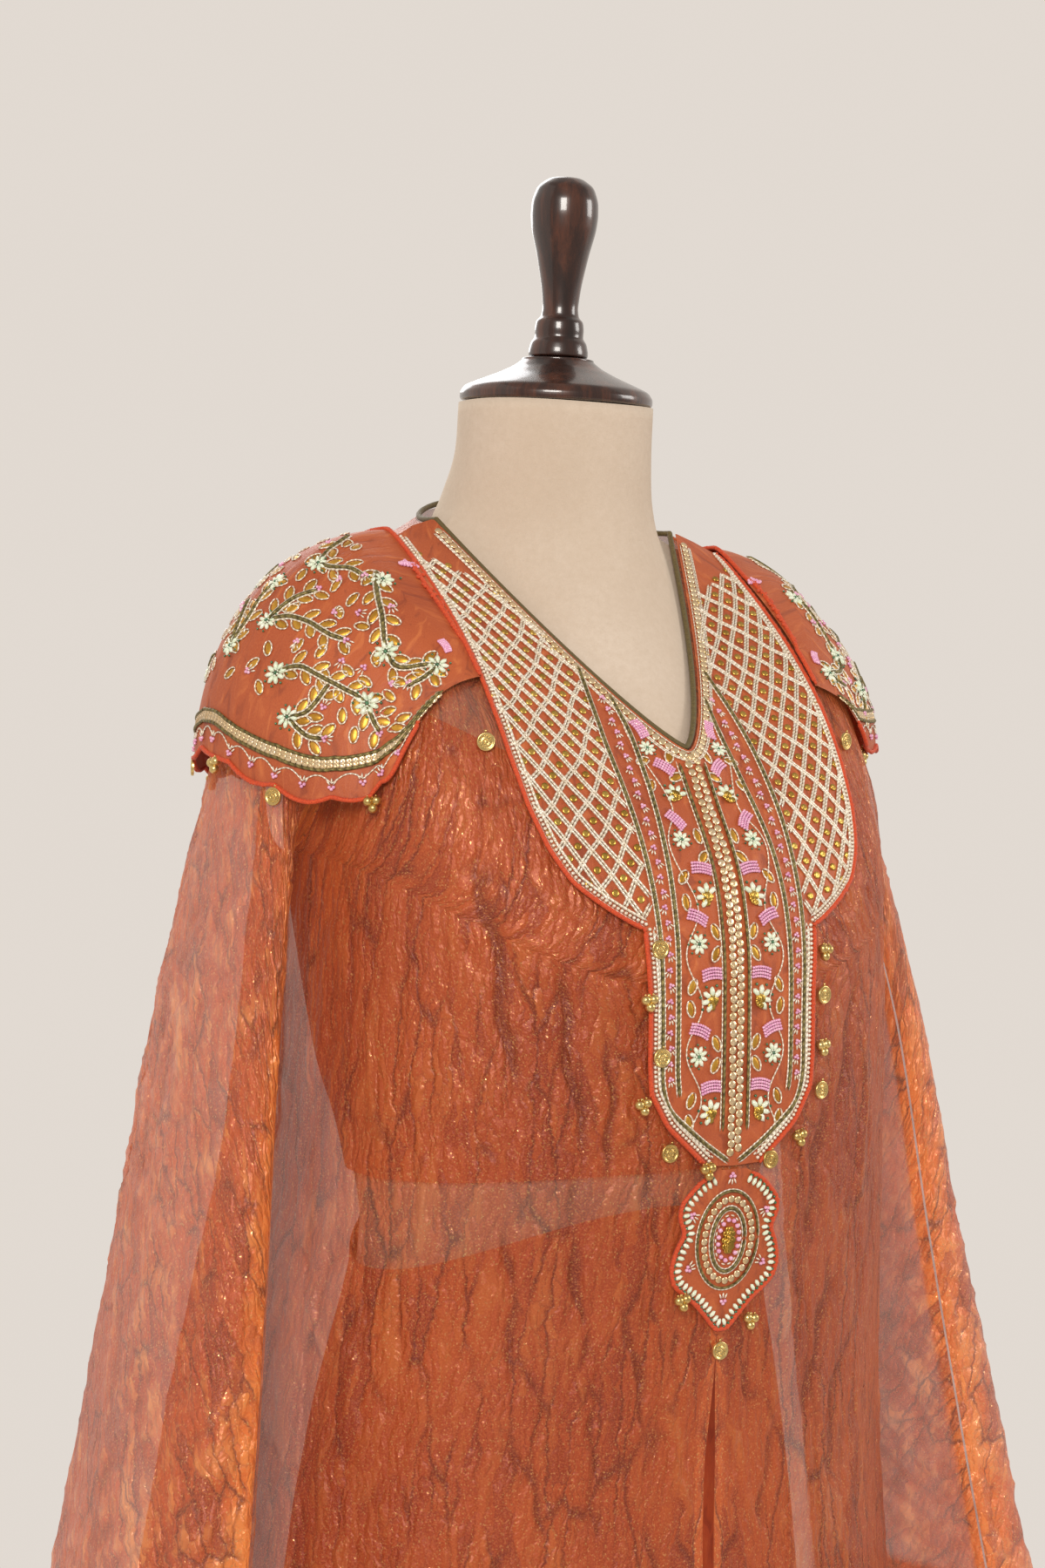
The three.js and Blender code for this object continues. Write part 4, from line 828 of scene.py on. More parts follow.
class Batch:
    # shapes of one finish, gathered into one mesh
    def __init__(self):
        self.points, self.faces, self.uv, self.own, self.count = [], [], [], [], 0

    def add(self, points, faces, uv=None, own=0.5):
        points = points.reshape(-1, 3)
        self.points.append(points)
        self.faces.append(faces.reshape(-1, 3) + self.count)
        self.uv.append(np.zeros((len(points), 2)) if uv is None else uv.reshape(-1, 2))
        self.own.append(np.broadcast_to(own, (len(points),)).astype(float))
        self.count += len(points)


thread = {name: Batch() for name in finishes}


def triangles(count, sides):
    # two triangles for each side between each pair of rings
    q = quads(count, sides, True)
    return np.concatenate([q[:, [0, 1, 2]], q[:, [0, 2, 3]]])


def ballShape():
    # twenty even triangles: the golden ratio's corners on a unit sphere
    g = (1 + math.sqrt(5)) / 2
    p = np.array([[-1, g, 0], [1, g, 0], [-1, -g, 0], [1, -g, 0], [0, -1, g], [0, 1, g], [0, -1, -g], [0, 1, -g],
                  [g, 0, -1], [g, 0, 1], [-g, 0, -1], [-g, 0, 1]]) / math.hypot(1, g)
    f = np.array([[0, 11, 5], [0, 5, 1], [0, 1, 7], [0, 7, 10], [0, 10, 11], [1, 5, 9], [5, 11, 4], [11, 10, 2],
                  [10, 7, 6], [7, 1, 8], [3, 9, 4], [3, 4, 2], [3, 2, 6], [3, 6, 8], [3, 8, 9], [4, 9, 5], [2, 4, 11],
                  [6, 2, 10], [8, 6, 7], [9, 8, 1]])
    return p, f


def ringsShape(profile, sides):
    # a turned shape: (radius, height) rings from the middle out, with its first ring closed by a point
    angle = np.linspace(0, 2 * np.pi, sides, endpoint=False)
    rings = np.array([[r * np.cos(angle), r * np.sin(angle), np.full(sides, h)] for r, h in profile])
    rings = rings.transpose(0, 2, 1)
    points = np.concatenate([[[0, 0, profile[0][1]]], rings.reshape(-1, 3)])
    j = np.arange(sides)
    k = (j + 1) % sides
    faces = [np.stack([0 * j, 1 + j, 1 + k], -1)]
    for i in range(len(profile) - 1):
        a, b, c, d = 1 + i * sides + j, 1 + i * sides + k, 1 + (i + 1) * sides + j, 1 + (i + 1) * sides + k
        faces += [np.stack([a, c, d], -1), np.stack([a, d, b], -1)]
    return points, np.concatenate(faces)


ball = ballShape()
sequin = ringsShape([(0.28, 0.1), (0.95, 0.5), (1.0, 0.0)], 8)
leafRidge = np.linspace(-1, 1, 7)
leafWidth = 0.42 * (1 - leafRidge ** 2) ** 0.8
leafPoints = np.concatenate([np.stack([leafRidge, 0 * leafRidge, 0.22 * (1 - leafRidge ** 2) + 0.05], -1),
                             np.stack([leafRidge, leafWidth, 0 * leafRidge], -1),
                             np.stack([leafRidge, -leafWidth, 0 * leafRidge], -1)])
n = np.arange(6)
leafShape = (leafPoints, np.concatenate([np.stack([n, n + 1, n + 8], -1), np.stack([n, n + 8, n + 7], -1),
                                         np.stack([n, n + 14, n + 15], -1), np.stack([n, n + 15, n + 1], -1)]))
dice = np.random.default_rng(7)
onYoke = 1.95   # beadwork lies this far over the smooth cloth


def scatter(finish, cloth, u, v, shape, size, angle=0.0, rise=0.0):
    # one shape at every (u, v): scaled, turned by angle in the cloth's plane and laid on it
    u, v, angle = np.broadcast_arrays(*(np.atleast_1d(np.asarray(k, float)) for k in (u, v, angle)))
    points, faces = shape
    local = points[None] * np.broadcast_to(np.asarray(size, float), (len(u), 3))[:, None]
    c, s = np.cos(angle)[:, None], np.sin(angle)[:, None]
    a, b = local[..., 0] * c - local[..., 1] * s, local[..., 0] * s + local[..., 1] * c
    centre, across, up, way = cloth.frame(u, v)
    placed = (centre[:, None] + across[:, None] * a[..., None] + up[:, None] * b[..., None]
              + way[:, None] * (onYoke + rise + local[..., 2])[..., None])
    faces = faces[:, ::-1] if cloth.mirrored else faces
    copies = faces[None] + (np.arange(len(u)) * len(points))[:, None, None]
    thread[finish].add(placed, copies, own=np.repeat(dice.random(len(u)), len(points)))


def cord(finish, cloth, u, v, radius, rise=None, sides=5, spacing=3.0, smooth=2):
    # a round cord on the cloth along a line through (u, v), its ends closed to points
    u, v, _ = cloth.even(u, v, spacing)
    if len(u) < 3:
        return
    for _ in range(smooth):
        u[1:-1] = (u[:-2] + 2 * u[1:-1] + u[2:]) / 4
        v[1:-1] = (v[:-2] + 2 * v[1:-1] + v[2:]) / 4
    centre, _, _, way = cloth.frame(u, v)
    centre = centre + way * (onYoke + (radius * 0.8 if rise is None else rise))
    along = np.gradient(centre, axis=0)
    along /= np.maximum(np.linalg.norm(along, axis=-1, keepdims=True), 1e-6)
    beside = np.cross(along, way)
    turn = np.linspace(0, 2 * np.pi, sides, endpoint=False)
    ring = np.cos(turn)[None, :, None] * beside[:, None] + np.sin(turn)[None, :, None] * way[:, None]
    thick = np.full(len(u), radius)
    thick[0] = thick[-1] = radius * 0.05
    points = centre[:, None] + ring * thick[:, None, None]
    run = np.concatenate([[0], np.cumsum(np.linalg.norm(np.diff(centre, axis=0), axis=-1))])
    uv = np.stack(np.broadcast_arrays(run[:, None] * mm, turn[None] / (2 * np.pi)), -1)
    thread[finish].add(points, triangles(len(u), sides), uv)


def beadRow(finish, cloth, u, v, size, spacing, rise=0.6, shape=None):
    # one shape at equal lengths along a line, turned with it
    a, b, angle = cloth.even(u, v, spacing)
    scatter(finish, cloth, a, b, shape or ball, size, angle, rise)


def picotEdge(cloth, u, v, seed):
    # a thick edging of loose knots, each with a small loop
    cord('picot', cloth, u, v, 1.4, 0.5, 5, 2.4)
    a, b, angle = cloth.even(u, v, 2.3)
    jitter = np.random.default_rng(seed).uniform(-0.45, 0.45, (2, len(a)))
    scatter('picot', cloth, a + jitter[0], b + jitter[1], ball, (1.6, 1.1, 1.1), angle + jitter[0] * 2, 0.9)


def flower(cloth, u, v, length, half=False, turned=0.0, seeds=True):
    # bead petals round a middle, with small beads between their tips
    petals = 5 if half else 8
    fan, whole = np.linspace(-0.15, np.pi + 0.15, petals), np.linspace(0, 2 * np.pi, petals, endpoint=False)
    turn = turned + (fan if half else whole)
    reach = length * 0.6
    pu, pv = cloth.move(u, v, reach * np.cos(turn), reach * np.sin(turn))
    scatter('mint', cloth, pu, pv, ball, (length * 0.42, length * 0.22, length * 0.2), turn, 0.8)
    if seeds:
        between = turn[:-1] + (turn[1] - turn[0]) / 2
        pu, pv = cloth.move(u, v, length * 1.06 * np.cos(between), length * 1.06 * np.sin(between))
        scatter('green', cloth, pu, pv, ball, length * 0.12, 0, 0.6)
    if half:
        ring = np.linspace(0, 2 * np.pi, 7, endpoint=False)
        pu, pv = cloth.move(u, v, 2.1 * np.cos(ring), 2.1 * np.sin(ring))
        scatter('gold', cloth, pu, pv, sequin, (1.7, 1.7, 1.2), 0, 0.6)
        scatter('gold', cloth, u, v, sequin, (2.1, 2.1, 1.8), 0, 1.2)
    else:
        scatter('green', cloth, u, v, ball, length * 0.17, 0, 1.2)
        ring = np.linspace(0, 2 * np.pi, 6, endpoint=False)
        pu, pv = cloth.move(u, v, length * 0.24 * np.cos(ring), length * 0.24 * np.sin(ring))
        scatter('mint', cloth, pu, pv, ball, length * 0.1, 0, 1.3)


def leaf(cloth, u, v, length, angle):
    # a domed leaf with a thin silver line round it
    scatter('leaf', cloth, u, v, leafShape, (length / 2, length / 2, length / 3), angle, 0.2)
    t = np.linspace(0, 2 * np.pi, 19)
    a, b = (length / 2 + 0.7) * np.cos(t), (length * 0.24 + 0.6) * np.sin(t) * np.abs(np.sin(t)) ** 0.4
    c, s = math.cos(angle), math.sin(angle)
    cord('silver', cloth, *cloth.move(u, v, a * c - b * s, a * s + b * c), 0.55, 0.5, 4, 1.4, 0)


def pinkBar(cloth, u, v, angle, wide=13.0, tall=5.0, bend=0.08):
    # rows of seed beads side by side, the whole a little bowed
    across, up = np.meshgrid(np.linspace(-0.5, 0.5, 8), np.linspace(-0.5, 0.5, 4))
    a, b = across.ravel() * wide, up.ravel() * tall - bend * wide * (across.ravel() * 2) ** 2
    c, s = math.cos(angle), math.sin(angle)
    scatter('pink', cloth, *cloth.move(u, v, a * c - b * s, a * s + b * c), ball, (1.05, 0.95, 1.1), angle, 0.8)


def sprig(cloth, u, v, angle, size=1.0):
    # three pink beads at the end of three silver bugles
    c, s = math.cos(angle), math.sin(angle)
    for a, b in ((0.4, 0), (-1.1, 1.3), (-1.1, -1.3)):
        scatter('pink', cloth, *cloth.move(u, v, (a * c - b * s) * size, (a * s + b * c) * size), ball,
                1.2 * size, 0, 0.8)
    for a, b, lean in ((-4.0, 2.0, -0.45), (-4.0, -2.0, 0.45), (-4.4, 0, 0)):
        scatter('silver', cloth, *cloth.move(u, v, (a * c - b * s) * size, (a * s + b * c) * size), ball,
                (2.1 * size, 0.55, 0.55), angle + lean, 0.5)


print('scene: beaded yoke')


def layPiece(name, grid, sign, material, nodes, marks=None, wraps=False):
    # a grid of points as one smooth cloth piece
    faces = quads(*grid.shape[:2], wraps)[:, ::sign]
    flat = np.zeros(grid.shape[:2])
    piece = setPiece(name, grid, faces, material, gridUv(grid), marks or dict(fold=flat, double=flat))
    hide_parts(*nodes)
    return piece


layer = 1.9   # the yoke's cloth over the smooth cloth under it
caps = {}
for hand, sign in (('left', 1), ('right', -1)):
    grid, lift = capGrid(hand, sign, 109, 46)
    way = outward(grid, sign)
    top = grid + way * (layer + lift)[..., None]
    along = np.concatenate([[0], np.cumsum(np.linalg.norm(np.diff(grid[-1], axis=0), axis=-1))])
    soft = 0.9 * (noise(along / 26 + np.zeros((46, 1)), np.arange(46)[:, None] / 14, 81) - 0.5)
    top = top + way * soft[..., None]
    caps[hand] = layPiece('cap_cloth_' + hand, top, sign, yokeCloth, ['shoulder_cap_' + hand])
    # the cap as a map: u is the length along the lower edge from the front corner, v the length up
    up = np.concatenate([[0], np.cumsum(np.linalg.norm(np.diff(top[::-1, 54], axis=0), axis=-1))])
    capU, capV = np.linspace(0, along[-1], 109), np.linspace(0, up[-1], 46)
    caps[hand + 'Map'] = Cloth(top[::-1] - way[::-1] * layer, capU, capV, -sign, sign < 0)

# the front as a map: u is x and v the length up the middle line from the waist
mapU = np.arange(-132, 133, 3.0)
mapShare = np.linspace(0.0, 0.47, 130)
spine = onFront(0.0, mapShare)
spineLength = np.concatenate([[0], np.cumsum(np.linalg.norm(np.diff(spine, axis=0), axis=-1))])
spineLength = spineLength[-1] - spineLength
mapV = np.arange(0, spineLength[0], 3.0)
vShare = np.interp(mapV, spineLength[::-1], mapShare[::-1])
front = Cloth(onFront(mapU[None], vShare[:, None]), mapU, mapV, -1)


def mapAt(x, z):
    # the map's (u, v) where the front at x reaches height z
    x, z = np.broadcast_arrays(np.asarray(x, float), np.asarray(z, float))
    return x, np.interp(frontShare(x, z), mapShare, spineLength)


bibRows = rows('outerX outerZ middleZ', [
    [86.7, 1426, 1294], [101, 1421, 1284], [116.2, 1413, 1274], [116.2, 1384, 1262], [116.2, 1350, 1250],
    [116.2, 1317, 1240], [115, 1290, 1228], [112, 1262, 1217], [106, 1240, 1209], [96, 1222, 1202],
    [78, 1208, 1195], [58.5, 1197, 1188], [56, 1160, 1156], [56, 1125, 1123], [55, 1108, 1106], [44, 1089, 1088],
    [19, 1067, 1066]])
ornamentRows = rows('z half', [
    [1064, 10], [1058, 22], [1047, 33], [1038, 34], [1030, 29], [1022, 34], [1010, 37], [1000, 34], [990, 20],
    [980, 10], [971, 3]])


def bibGrid(count, halfColumns):
    # rows between those of the table, each from its outer corner to its place on the middle line
    place = np.linspace(0, len(bibRows['outerX']) - 1, count)
    row = {k: np.interp(place, np.arange(len(v)), v) for k, v in bibRows.items()}
    outer = frontShare(row['outerX'], row['outerZ'])
    middle = frontShare(0, row['middleZ'])
    outer[0] = middle[0] = 0
    part = np.linspace(-1, 1, 2 * halfColumns + 1)
    share = middle[:, None] + (outer - middle)[:, None] * np.abs(part)
    return onFront(row['outerX'][:, None] * part, share)


bibTop = bibGrid(129, 72)
bibTop = bibTop + outward(bibTop, 1) * layer
bib = layPiece('bib_cloth', bibTop, 1, yokeCloth, ['bib'])
place = np.linspace(1064, 971, 56)
half = np.interp(-place, -ornamentRows['z'], ornamentRows['half'])
pendant = onFront(half[:, None] * np.linspace(-1, 1, 33), frontShare(0, place)[:, None])
pendant = pendant + outward(pendant, 1) * layer
ornament = layPiece('ornament_cloth', pendant, 1, yokeCloth, ['ornament'])


print('scene: linings, form and stand')
round96 = np.linspace(0, 2 * np.pi, 96, endpoint=False)


def formShare(angle, z):
    # the share of the way down at which the form reaches height z, by halving
    angle, z = np.broadcast_arrays(angle, z)
    low, high = np.zeros(z.shape), np.ones(z.shape)
    for _ in range(22):
        middle = (low + high) / 2
        above = ringPoint(readRows(formRings, 'at', middle), angle)[..., 2] > z
        low, high = np.where(above, middle, low), np.where(above, high, middle)
    return (low + high) / 2


def liningMarks(grid, seed, deep, start):
    # soft upright folds, gathered towards the waist
    angle = np.arctan2(grid[..., 1], grid[..., 0]) * 40
    down = np.broadcast_to(np.arange(grid.shape[0])[:, None], angle.shape)
    swell = np.sin(angle * 0.5 + 5 * noise(down / 40, 0 * angle + 3, seed)) * 0.35
    leans = ridges(angle / 7 + down / 60, down / 30, seed, 2)
    leans = leans - ridges(angle / 8 - down / 70 + 9, down / 26, seed + 1, 2)
    return deep * (swell + leans) * start


bodiceTop, bodiceEnd = dict(fore=1256, side=1330, rear=1325), dict(fore=1055, side=1045, rear=1045)


def heights(edge):
    # from the side's height to the front's or the back's by sin squared
    middle = np.where(np.sin(round96) < 0, edge['fore'], edge['rear'])
    return edge['side'] + (middle - edge['side']) * np.sin(round96) ** 2


part = np.linspace(0, 1, 70)[:, None]
z = heights(bodiceTop) + (heights(bodiceEnd) - heights(bodiceTop)) * part
angles = np.broadcast_to(round96, z.shape)
bodice = ringPoint(readRows(formRings, 'at', formShare(angles, z)), angles)
way = outward(bodice, 1, True)
fold = liningMarks(bodice, 91, 0.8, np.ones(z.shape))
bodice = bodice + way * (3.8 + np.clip(fold, -0.6, 1.4))[..., None]
bodicePiece = layPiece('bodice_lining', bodice, 1, liningCloth, ['lining_bodice'],
                       dict(fold=fold, double=ease(part, 0.955, 0.965) + 0 * fold), True)
skirtRings = rows('z dip half midY front back', [
    [1034, 44, 130, -14, 122, 93], [1012, 32, 130.5, -14, 121.5, 94], [975, 14, 133.5, -12, 127.5, 101],
    [932, 0, 140.5, -11, 133.5, 110], [895, 0, 148.2, -10, 138.5, 118.8], [838, 0, 157, -9, 143, 127],
    [700, 0, 174, -7, 155, 142], [520, 0, 195, -4, 172, 161], [340, 0, 213, 0, 187, 179], [165, 0, 230, 2, 198, 194]])
z = np.concatenate([np.linspace(1034, 900, 40, endpoint=False), np.linspace(900, 165, 80)])[:, None]
ring = readRows(skirtRings, 'z', z)
out = 8 * np.cos(8 * round96) * ease(900 - z, 0, 900)
reach = np.where(np.sin(round96) < 0, ring['front'], ring['back'])
skirt = np.stack([(ring['half'] + out) * np.cos(round96), ring['midY'] + (reach + out) * np.sin(round96),
                  z - ring['dip'] * np.cos(round96) ** 2], -1)
way = outward(skirt, 1, True)
fold = liningMarks(skirt, 97, 1.6, 0.25 + 0.75 * ease(1034 - z, 10, 160))
skirt = skirt + way * (np.clip(fold, -0.9, 3) - 0.4)[..., None]
skirtPiece = layPiece('skirt_lining', skirt, 1, liningCloth, ['lining_skirt'],
                      dict(fold=fold / 1.6, double=1 - ease(1034 - z, 6, 8) + 0 * fold), True)


def closedRings(name, grid, material, nodes):
    # a solid from rings, closed by a middle point over its first and its last ring
    count, columns = grid.shape[:2]
    faces = quads(count, columns, True)
    points = np.concatenate([grid.reshape(-1, 3), [grid[0].mean(0)], [grid[-1].mean(0)]])
    j = np.arange(columns)
    k = (j + 1) % columns
    first, last = count * columns, (count - 1) * columns
    fans = np.concatenate([np.stack([0 * j + first, j, k], -1), np.stack([0 * j + first + 1, last + k, last + j], -1)])
    piece = setPiece(name, points, [faces, fans], material)
    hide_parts(*nodes)
    return piece


share = np.linspace(0, 1, 110)[:, None]
torso = ringPoint(readRows(formRings, 'at', share), round96)
form = closedRings('dress_form', torso, suede(), ['form_torso'])


def turnedPiece(name, profile, material, nodes, origin, lean=0.0, sides=72, steps=6):
    # a profile from the axis out and back, its corners softened, turned round the leaning axis
    profile = np.array(profile, float)
    run = np.arange(len(profile))
    fine = np.linspace(0, len(profile) - 1, (len(profile) - 1) * steps + 1)
    radius, height = np.interp(fine, run, profile[:, 0]), np.interp(fine, run, profile[:, 1])
    for _ in range(3):
        radius[1:-1] = (radius[:-2] + 2 * radius[1:-1] + radius[2:]) / 4
        height[1:-1] = (height[:-2] + 2 * height[1:-1] + height[2:]) / 4
    radius = np.maximum(radius, 0.02)
    angle = np.linspace(0, 2 * np.pi, sides, endpoint=False)
    x, y, z = radius[:, None] * np.cos(angle), radius[:, None] * np.sin(angle), height[:, None] + 0 * angle
    y, z = y * math.cos(lean) - z * math.sin(lean), y * math.sin(lean) + z * math.cos(lean)
    grid = np.stack([x + origin[0], y + origin[1], z + origin[2]], -1)
    return closedRings(name, grid[::-1], material, nodes)


wood = turnedWood()
neckCapProfile = [[0, 0], [57, 0], [58.5, 1.5], [58.5, 5], [56, 9], [48, 12.5], [36, 17.5], [27, 22], [21.7, 26],
                  [21.7, 27.5], [0, 27.5]]
finialProfile = [[0, 27.8], [18, 27.8], [18, 32], [16.8, 37], [14.6, 40], [14.9, 45], [14.2, 50], [11.5, 52.5],
                 [10.6, 58], [12.2, 72], [16, 91], [19.4, 104], [20.4, 113], [20, 122], [17, 130.5], [10, 135.5], [0, 136.5]]
turnedPiece('turned_neck_cap', neckCapProfile, wood, ['neck_cap'], (0, 0, rimHeight), neckLean)
turnedPiece('turned_finial', finialProfile, wood, ['finial'], (0, 0, rimHeight), neckLean)
poleProfile = [[0, 16.3], [15, 16.3], [15, 814.7], [0, 814.7]]
baseProfile = [[0, 0], [196, 0], [200, 3], [200, 11], [194, 16], [0, 16]]
standPlace = (0, -10, 0)
turnedPiece('stand_pole', poleProfile, wood, ['pole'], standPlace, 0, 48, 12)
turnedPiece('stand_base', baseProfile, wood, ['base'], standPlace, 0, 96)


print('scene: beadwork of the bib')
neckV = spineLength[0]
# the panel's lines and flowers on the front's map, on the wearer's left: (u, v), and (u, v, petal length, half)
frameLook = dict(outer=[(44, 354), (48, 335), (51, 316), (51, 294), (50, 272), (49, 245), (48, 200), (48, 165),
                        (44, 151), (20, 132), (3, 121)],
                 inner=[(33, 354), (31, 340), (33, 315), (36.5, 286), (38, 261), (38.5, 220), (38.5, 170), (37, 158)],
                 between=[(38, 350), (40, 330), (42, 310), (43.5, 290), (44, 262), (43.5, 220), (43, 164)],
                 flowers=[(24.5, 338, 5.4, 0), (17.5, 320, 7.4, 1), (24.5, 293, 6.0, 0), (16, 267, 7.8, 1), (25, 241, 6.2, 0),
                          (16.5, 211, 7.8, 1), (25.5, 180, 6.2, 0), (16.5, 149, 7.8, 1)],
                 cell=11.8, warp=0.7, latticeAngles=[math.radians(48), math.radians(-60)])


def line(points, count=160):
    # a smooth line through given points
    points = np.array(points, float)
    run = np.concatenate([[0], np.cumsum(np.hypot(*np.diff(points, axis=0).T))])
    fine = np.linspace(0, run[-1], count)
    u, v = np.interp(fine, run, points[:, 0]), np.interp(fine, run, points[:, 1])
    for _ in range(10):
        u[1:-1], v[1:-1] = (u[:-2] + 2 * u[1:-1] + u[2:]) / 4, (v[:-2] + 2 * v[1:-1] + v[2:]) / 4
    return u, v


def edgeLine(first, last):
    # the bib's edge between two rows of its table, on the wearer's left
    corner = mapAt(bibRows['outerX'][first:last], bibRows['outerZ'][first:last])
    return line(np.stack(corner, -1), 260)


wingEdge = edgeLine(2, 12)
panelEdge = edgeLine(11, 17)
neckLine = (np.linspace(-84, 84, 300), np.full(300, neckV - 0.4))
beadRow('champagne', front, *front.aside(*neckLine, -4.4), (2.35, 2.35, 1.3), 4.5, 0.5, sequin)
for inset, radius in ((1.6, 0.4), (7.4, 0.5), (8.5, 0.5)):
    cord('silver', front, *front.aside(*neckLine, -inset), radius)


def inWing(u, v, margin):
    # inside the wing: clear of the neckline, the outer edge and the framing cords by a margin
    cords = np.array(frameLook['outer'][:6])[::-1]
    inner = np.interp(v, cords[:, 1], cords[:, 0])
    outer = np.interp(v, wingEdge[1][::-1], wingEdge[0][::-1])
    low = np.interp(np.abs(u), np.sort(wingEdge[0]), wingEdge[1][np.argsort(wingEdge[0])])
    drop = np.linalg.norm(front.blend(front.up, np.abs(u), v), axis=-1)
    across = np.linalg.norm(front.blend(front.across, np.abs(u), v), axis=-1)
    steep = np.interp(np.abs(u), [0, 84, 116], [0.75, 0.75, 1.0])
    return (((neckV - v) * drop * steep > 9.5 + margin) & ((np.abs(u) - inner) * across > 2.5 + margin)
            & ((outer - np.abs(u)) * across > 6.0 + margin) & ((v - low) * drop > 6.0 + margin) & (v > 240))


# true length up the cloth at each x, from the wings' lower end, and the map's v at each length
lengths = np.cumsum(np.linalg.norm(np.diff(front.points, axis=0, prepend=front.points[:1]), axis=-1), 0)
lengths -= [np.interp(248, mapV, column) for column in lengths.T]
lengthSteps = np.arange(-20, 260, 2.0)
vAtLength = np.stack([np.interp(lengthSteps, column, mapV) for column in lengths.T], 1)[..., None]


def lattice(x, length):
    # the map's (u, v) on the wearer's left wing at x and a true length up, and which of the places are near the wing
    near = (x > 40) & (x < 122) & (length > -12) & (length < 230)
    x, length = x[near], length[near]
    return x, blended(vAtLength, mapU, lengthSteps, x, length)[..., 0]


for s in (-1, 1):
    # lattice of double cords with a sequin in every cell
    for angle in frameLook['latticeAngles']:
        c, d = math.cos(angle), math.sin(angle)
        for k in range(-24, 25):
            t = np.arange(-180, 180, 1.2)
            away = k * frameLook['cell'] + frameLook['warp'] * np.sin(t / 9 + k * 2.1)
            u, v = lattice(80 + t * c - away * d, 80 + t * d + away * c)
            if len(u) < 6:
                continue
            inside = inWing(u, v, 0)
            for run in np.split(np.arange(len(u)), np.where(np.diff(inside.astype(int)) != 0)[0] + 1):
                if inside[run[0]] and len(run) > 4:
                    for side in (-0.85, 0.85):
                        cord('silver', front, *front.aside(s * u[run], v[run], side), 0.78, None, 4, 2.4, 1)
    (c, d), (g, h) = [(math.cos(a), math.sin(a)) for a in frameLook['latticeAngles']]
    k, l = [m.ravel() * frameLook['cell'] for m in np.meshgrid(np.arange(-24, 24) + 0.5, np.arange(-24, 24) + 0.5)]
    # where the line k of the first family crosses the line l of the second
    between = c * h - d * g
    u, v = lattice(80 + (g * k - c * l) / between, 80 + (h * k - d * l) / between)
    ok = inWing(u, v, 1.5)
    scatter('gold', front, s * u[ok], v[ok], sequin, (2.2, 2.2, 1.2), dice.random(ok.sum()) * 6, 0.3)
    # edging of the wing and the panel
    for edge, seed in ((wingEdge, 5 + s), (panelEdge, 9 + s)):
        u, v = edge[0] * s, edge[1]
        inwards = -s
        picotEdge(front, *front.aside(u, v, inwards * 0.6), seed)
        beadRow('silver', front, *front.aside(u, v, inwards * 3.5), 1.2, 2.6)
        cord('silver', front, *front.aside(u, v, inwards * 5.6), 0.85)
    cord('silver', front, *front.aside(wingEdge[0] * s, wingEdge[1], -s * 1.9), 0.45)
    # framing cords, sprigs and vines
    for name in ('outer', 'inner'):
        u, v = line(frameLook[name])
        cord('olive', front, *front.aside(u * s, v, 0.0), 0.95)
        for side in (-1.35, 1.35):
            cord('silver', front, *front.aside(u * s, v, side), 0.5)
    u, v = line(frameLook['between'])
    a, b, along = front.even(u * s, v, 8.6, 0.5)
    for i, (x, y, angle) in enumerate(zip(a, b, along)):
        sprig(front, x, y, angle + math.pi + (0.5 if i % 2 else -0.5) * (1 if i % 4 < 2 else 0.6), 0.82)
    for x, y, length, half in frameLook['flowers']:
        flower(front, s * x, y, length, bool(half), (0.6 if s > 0 else math.pi - 0.6) - 1.57 if half else 0.3 * s)
        if half:
            turn = np.linspace(0, 4.6, 9)
            grow = np.linspace(0.6, 3.2, 9)
            scatter('gold', front, *front.move(s * x, y, grow * np.cos(turn), grow * np.sin(turn) - 1), sequin,
                    (1.6, 1.6, 2.6), turn, 0.7)
        pinkBar(front, s * (x + (0.5 if half else -1)), y + (14.6 if length > 6 else 10.5),
                s * (-0.12 if half else 0.3), 11.5, 5.2)
        leaf(front, s * (x - 11.5 if x > 20 else x + 14), y - 5, 8.6, math.radians(90 + s * (28 if x > 20 else -14)))
        leaf(front, s * (x - 12 if x > 20 else x + 13), y + 7, 8.6, math.radians(90 + s * (-24 if x > 20 else 22)))
    t = np.linspace(345, 138, 90)
    vine = 21 + 5.5 * np.cos((t - 338) / 52 * 2 * np.pi)
    cord('silver', front, s * (vine + 7), t, 0.42)
    cord('olive', front, s * (8.2 + 0 * t), t, 0.85)
    cord('silver', front, s * (9.7 + 0 * t), t, 0.42)
    t = np.arange(352, 126, -4.7)
    scatter('champagne', front, s * (2.5 + 0.4 * np.sin(t)), t + (2.3 if s > 0 else 0), sequin,
            (2.4, 2.4, 1.5), t, 0.5)
    # loops along the panel between its edge and the outer cords
    u, v = front.aside(panelEdge[0] * s, panelEdge[1], -s * 6.6)
    beadRow('silver', front, u, v, (1.3, 0.6, 0.7), 3.4, 0.5)


print('scene: beadwork of the ornament')
edgeZ = np.linspace(1062, 973, 120)
half = np.interp(-edgeZ, -ornamentRows['z'], ornamentRows['half'])
leftEdge = np.stack(mapAt(half, edgeZ), -1)
u, v = line(np.concatenate([leftEdge, (leftEdge * (-1, 1))[::-1]]), 320)
# the ring runs down the wearer's left side and up the other, so its inside is to the right
picotEdge(front, *front.aside(u, v, -0.5), 31)
a, b, along = front.even(*front.aside(u, v, -4.6), 3.7)
scatter('mint', front, a, b, ball, (2.7, 1.35, 1.25), along + math.pi / 2, 0.7)
a, b, along = front.even(*front.aside(u, v, -2.0), 3.7)
scatter('green', front, a, b, ball, 1.0, 0, 0.6)
turn = np.linspace(0, 2 * np.pi, 90)
ornamentV = 77.0


def oval(wide, tall):
    # an ellipse round the ornament's middle
    return front.move(np.zeros(90), np.full(90, ornamentV), wide * np.cos(turn), tall * np.sin(turn))


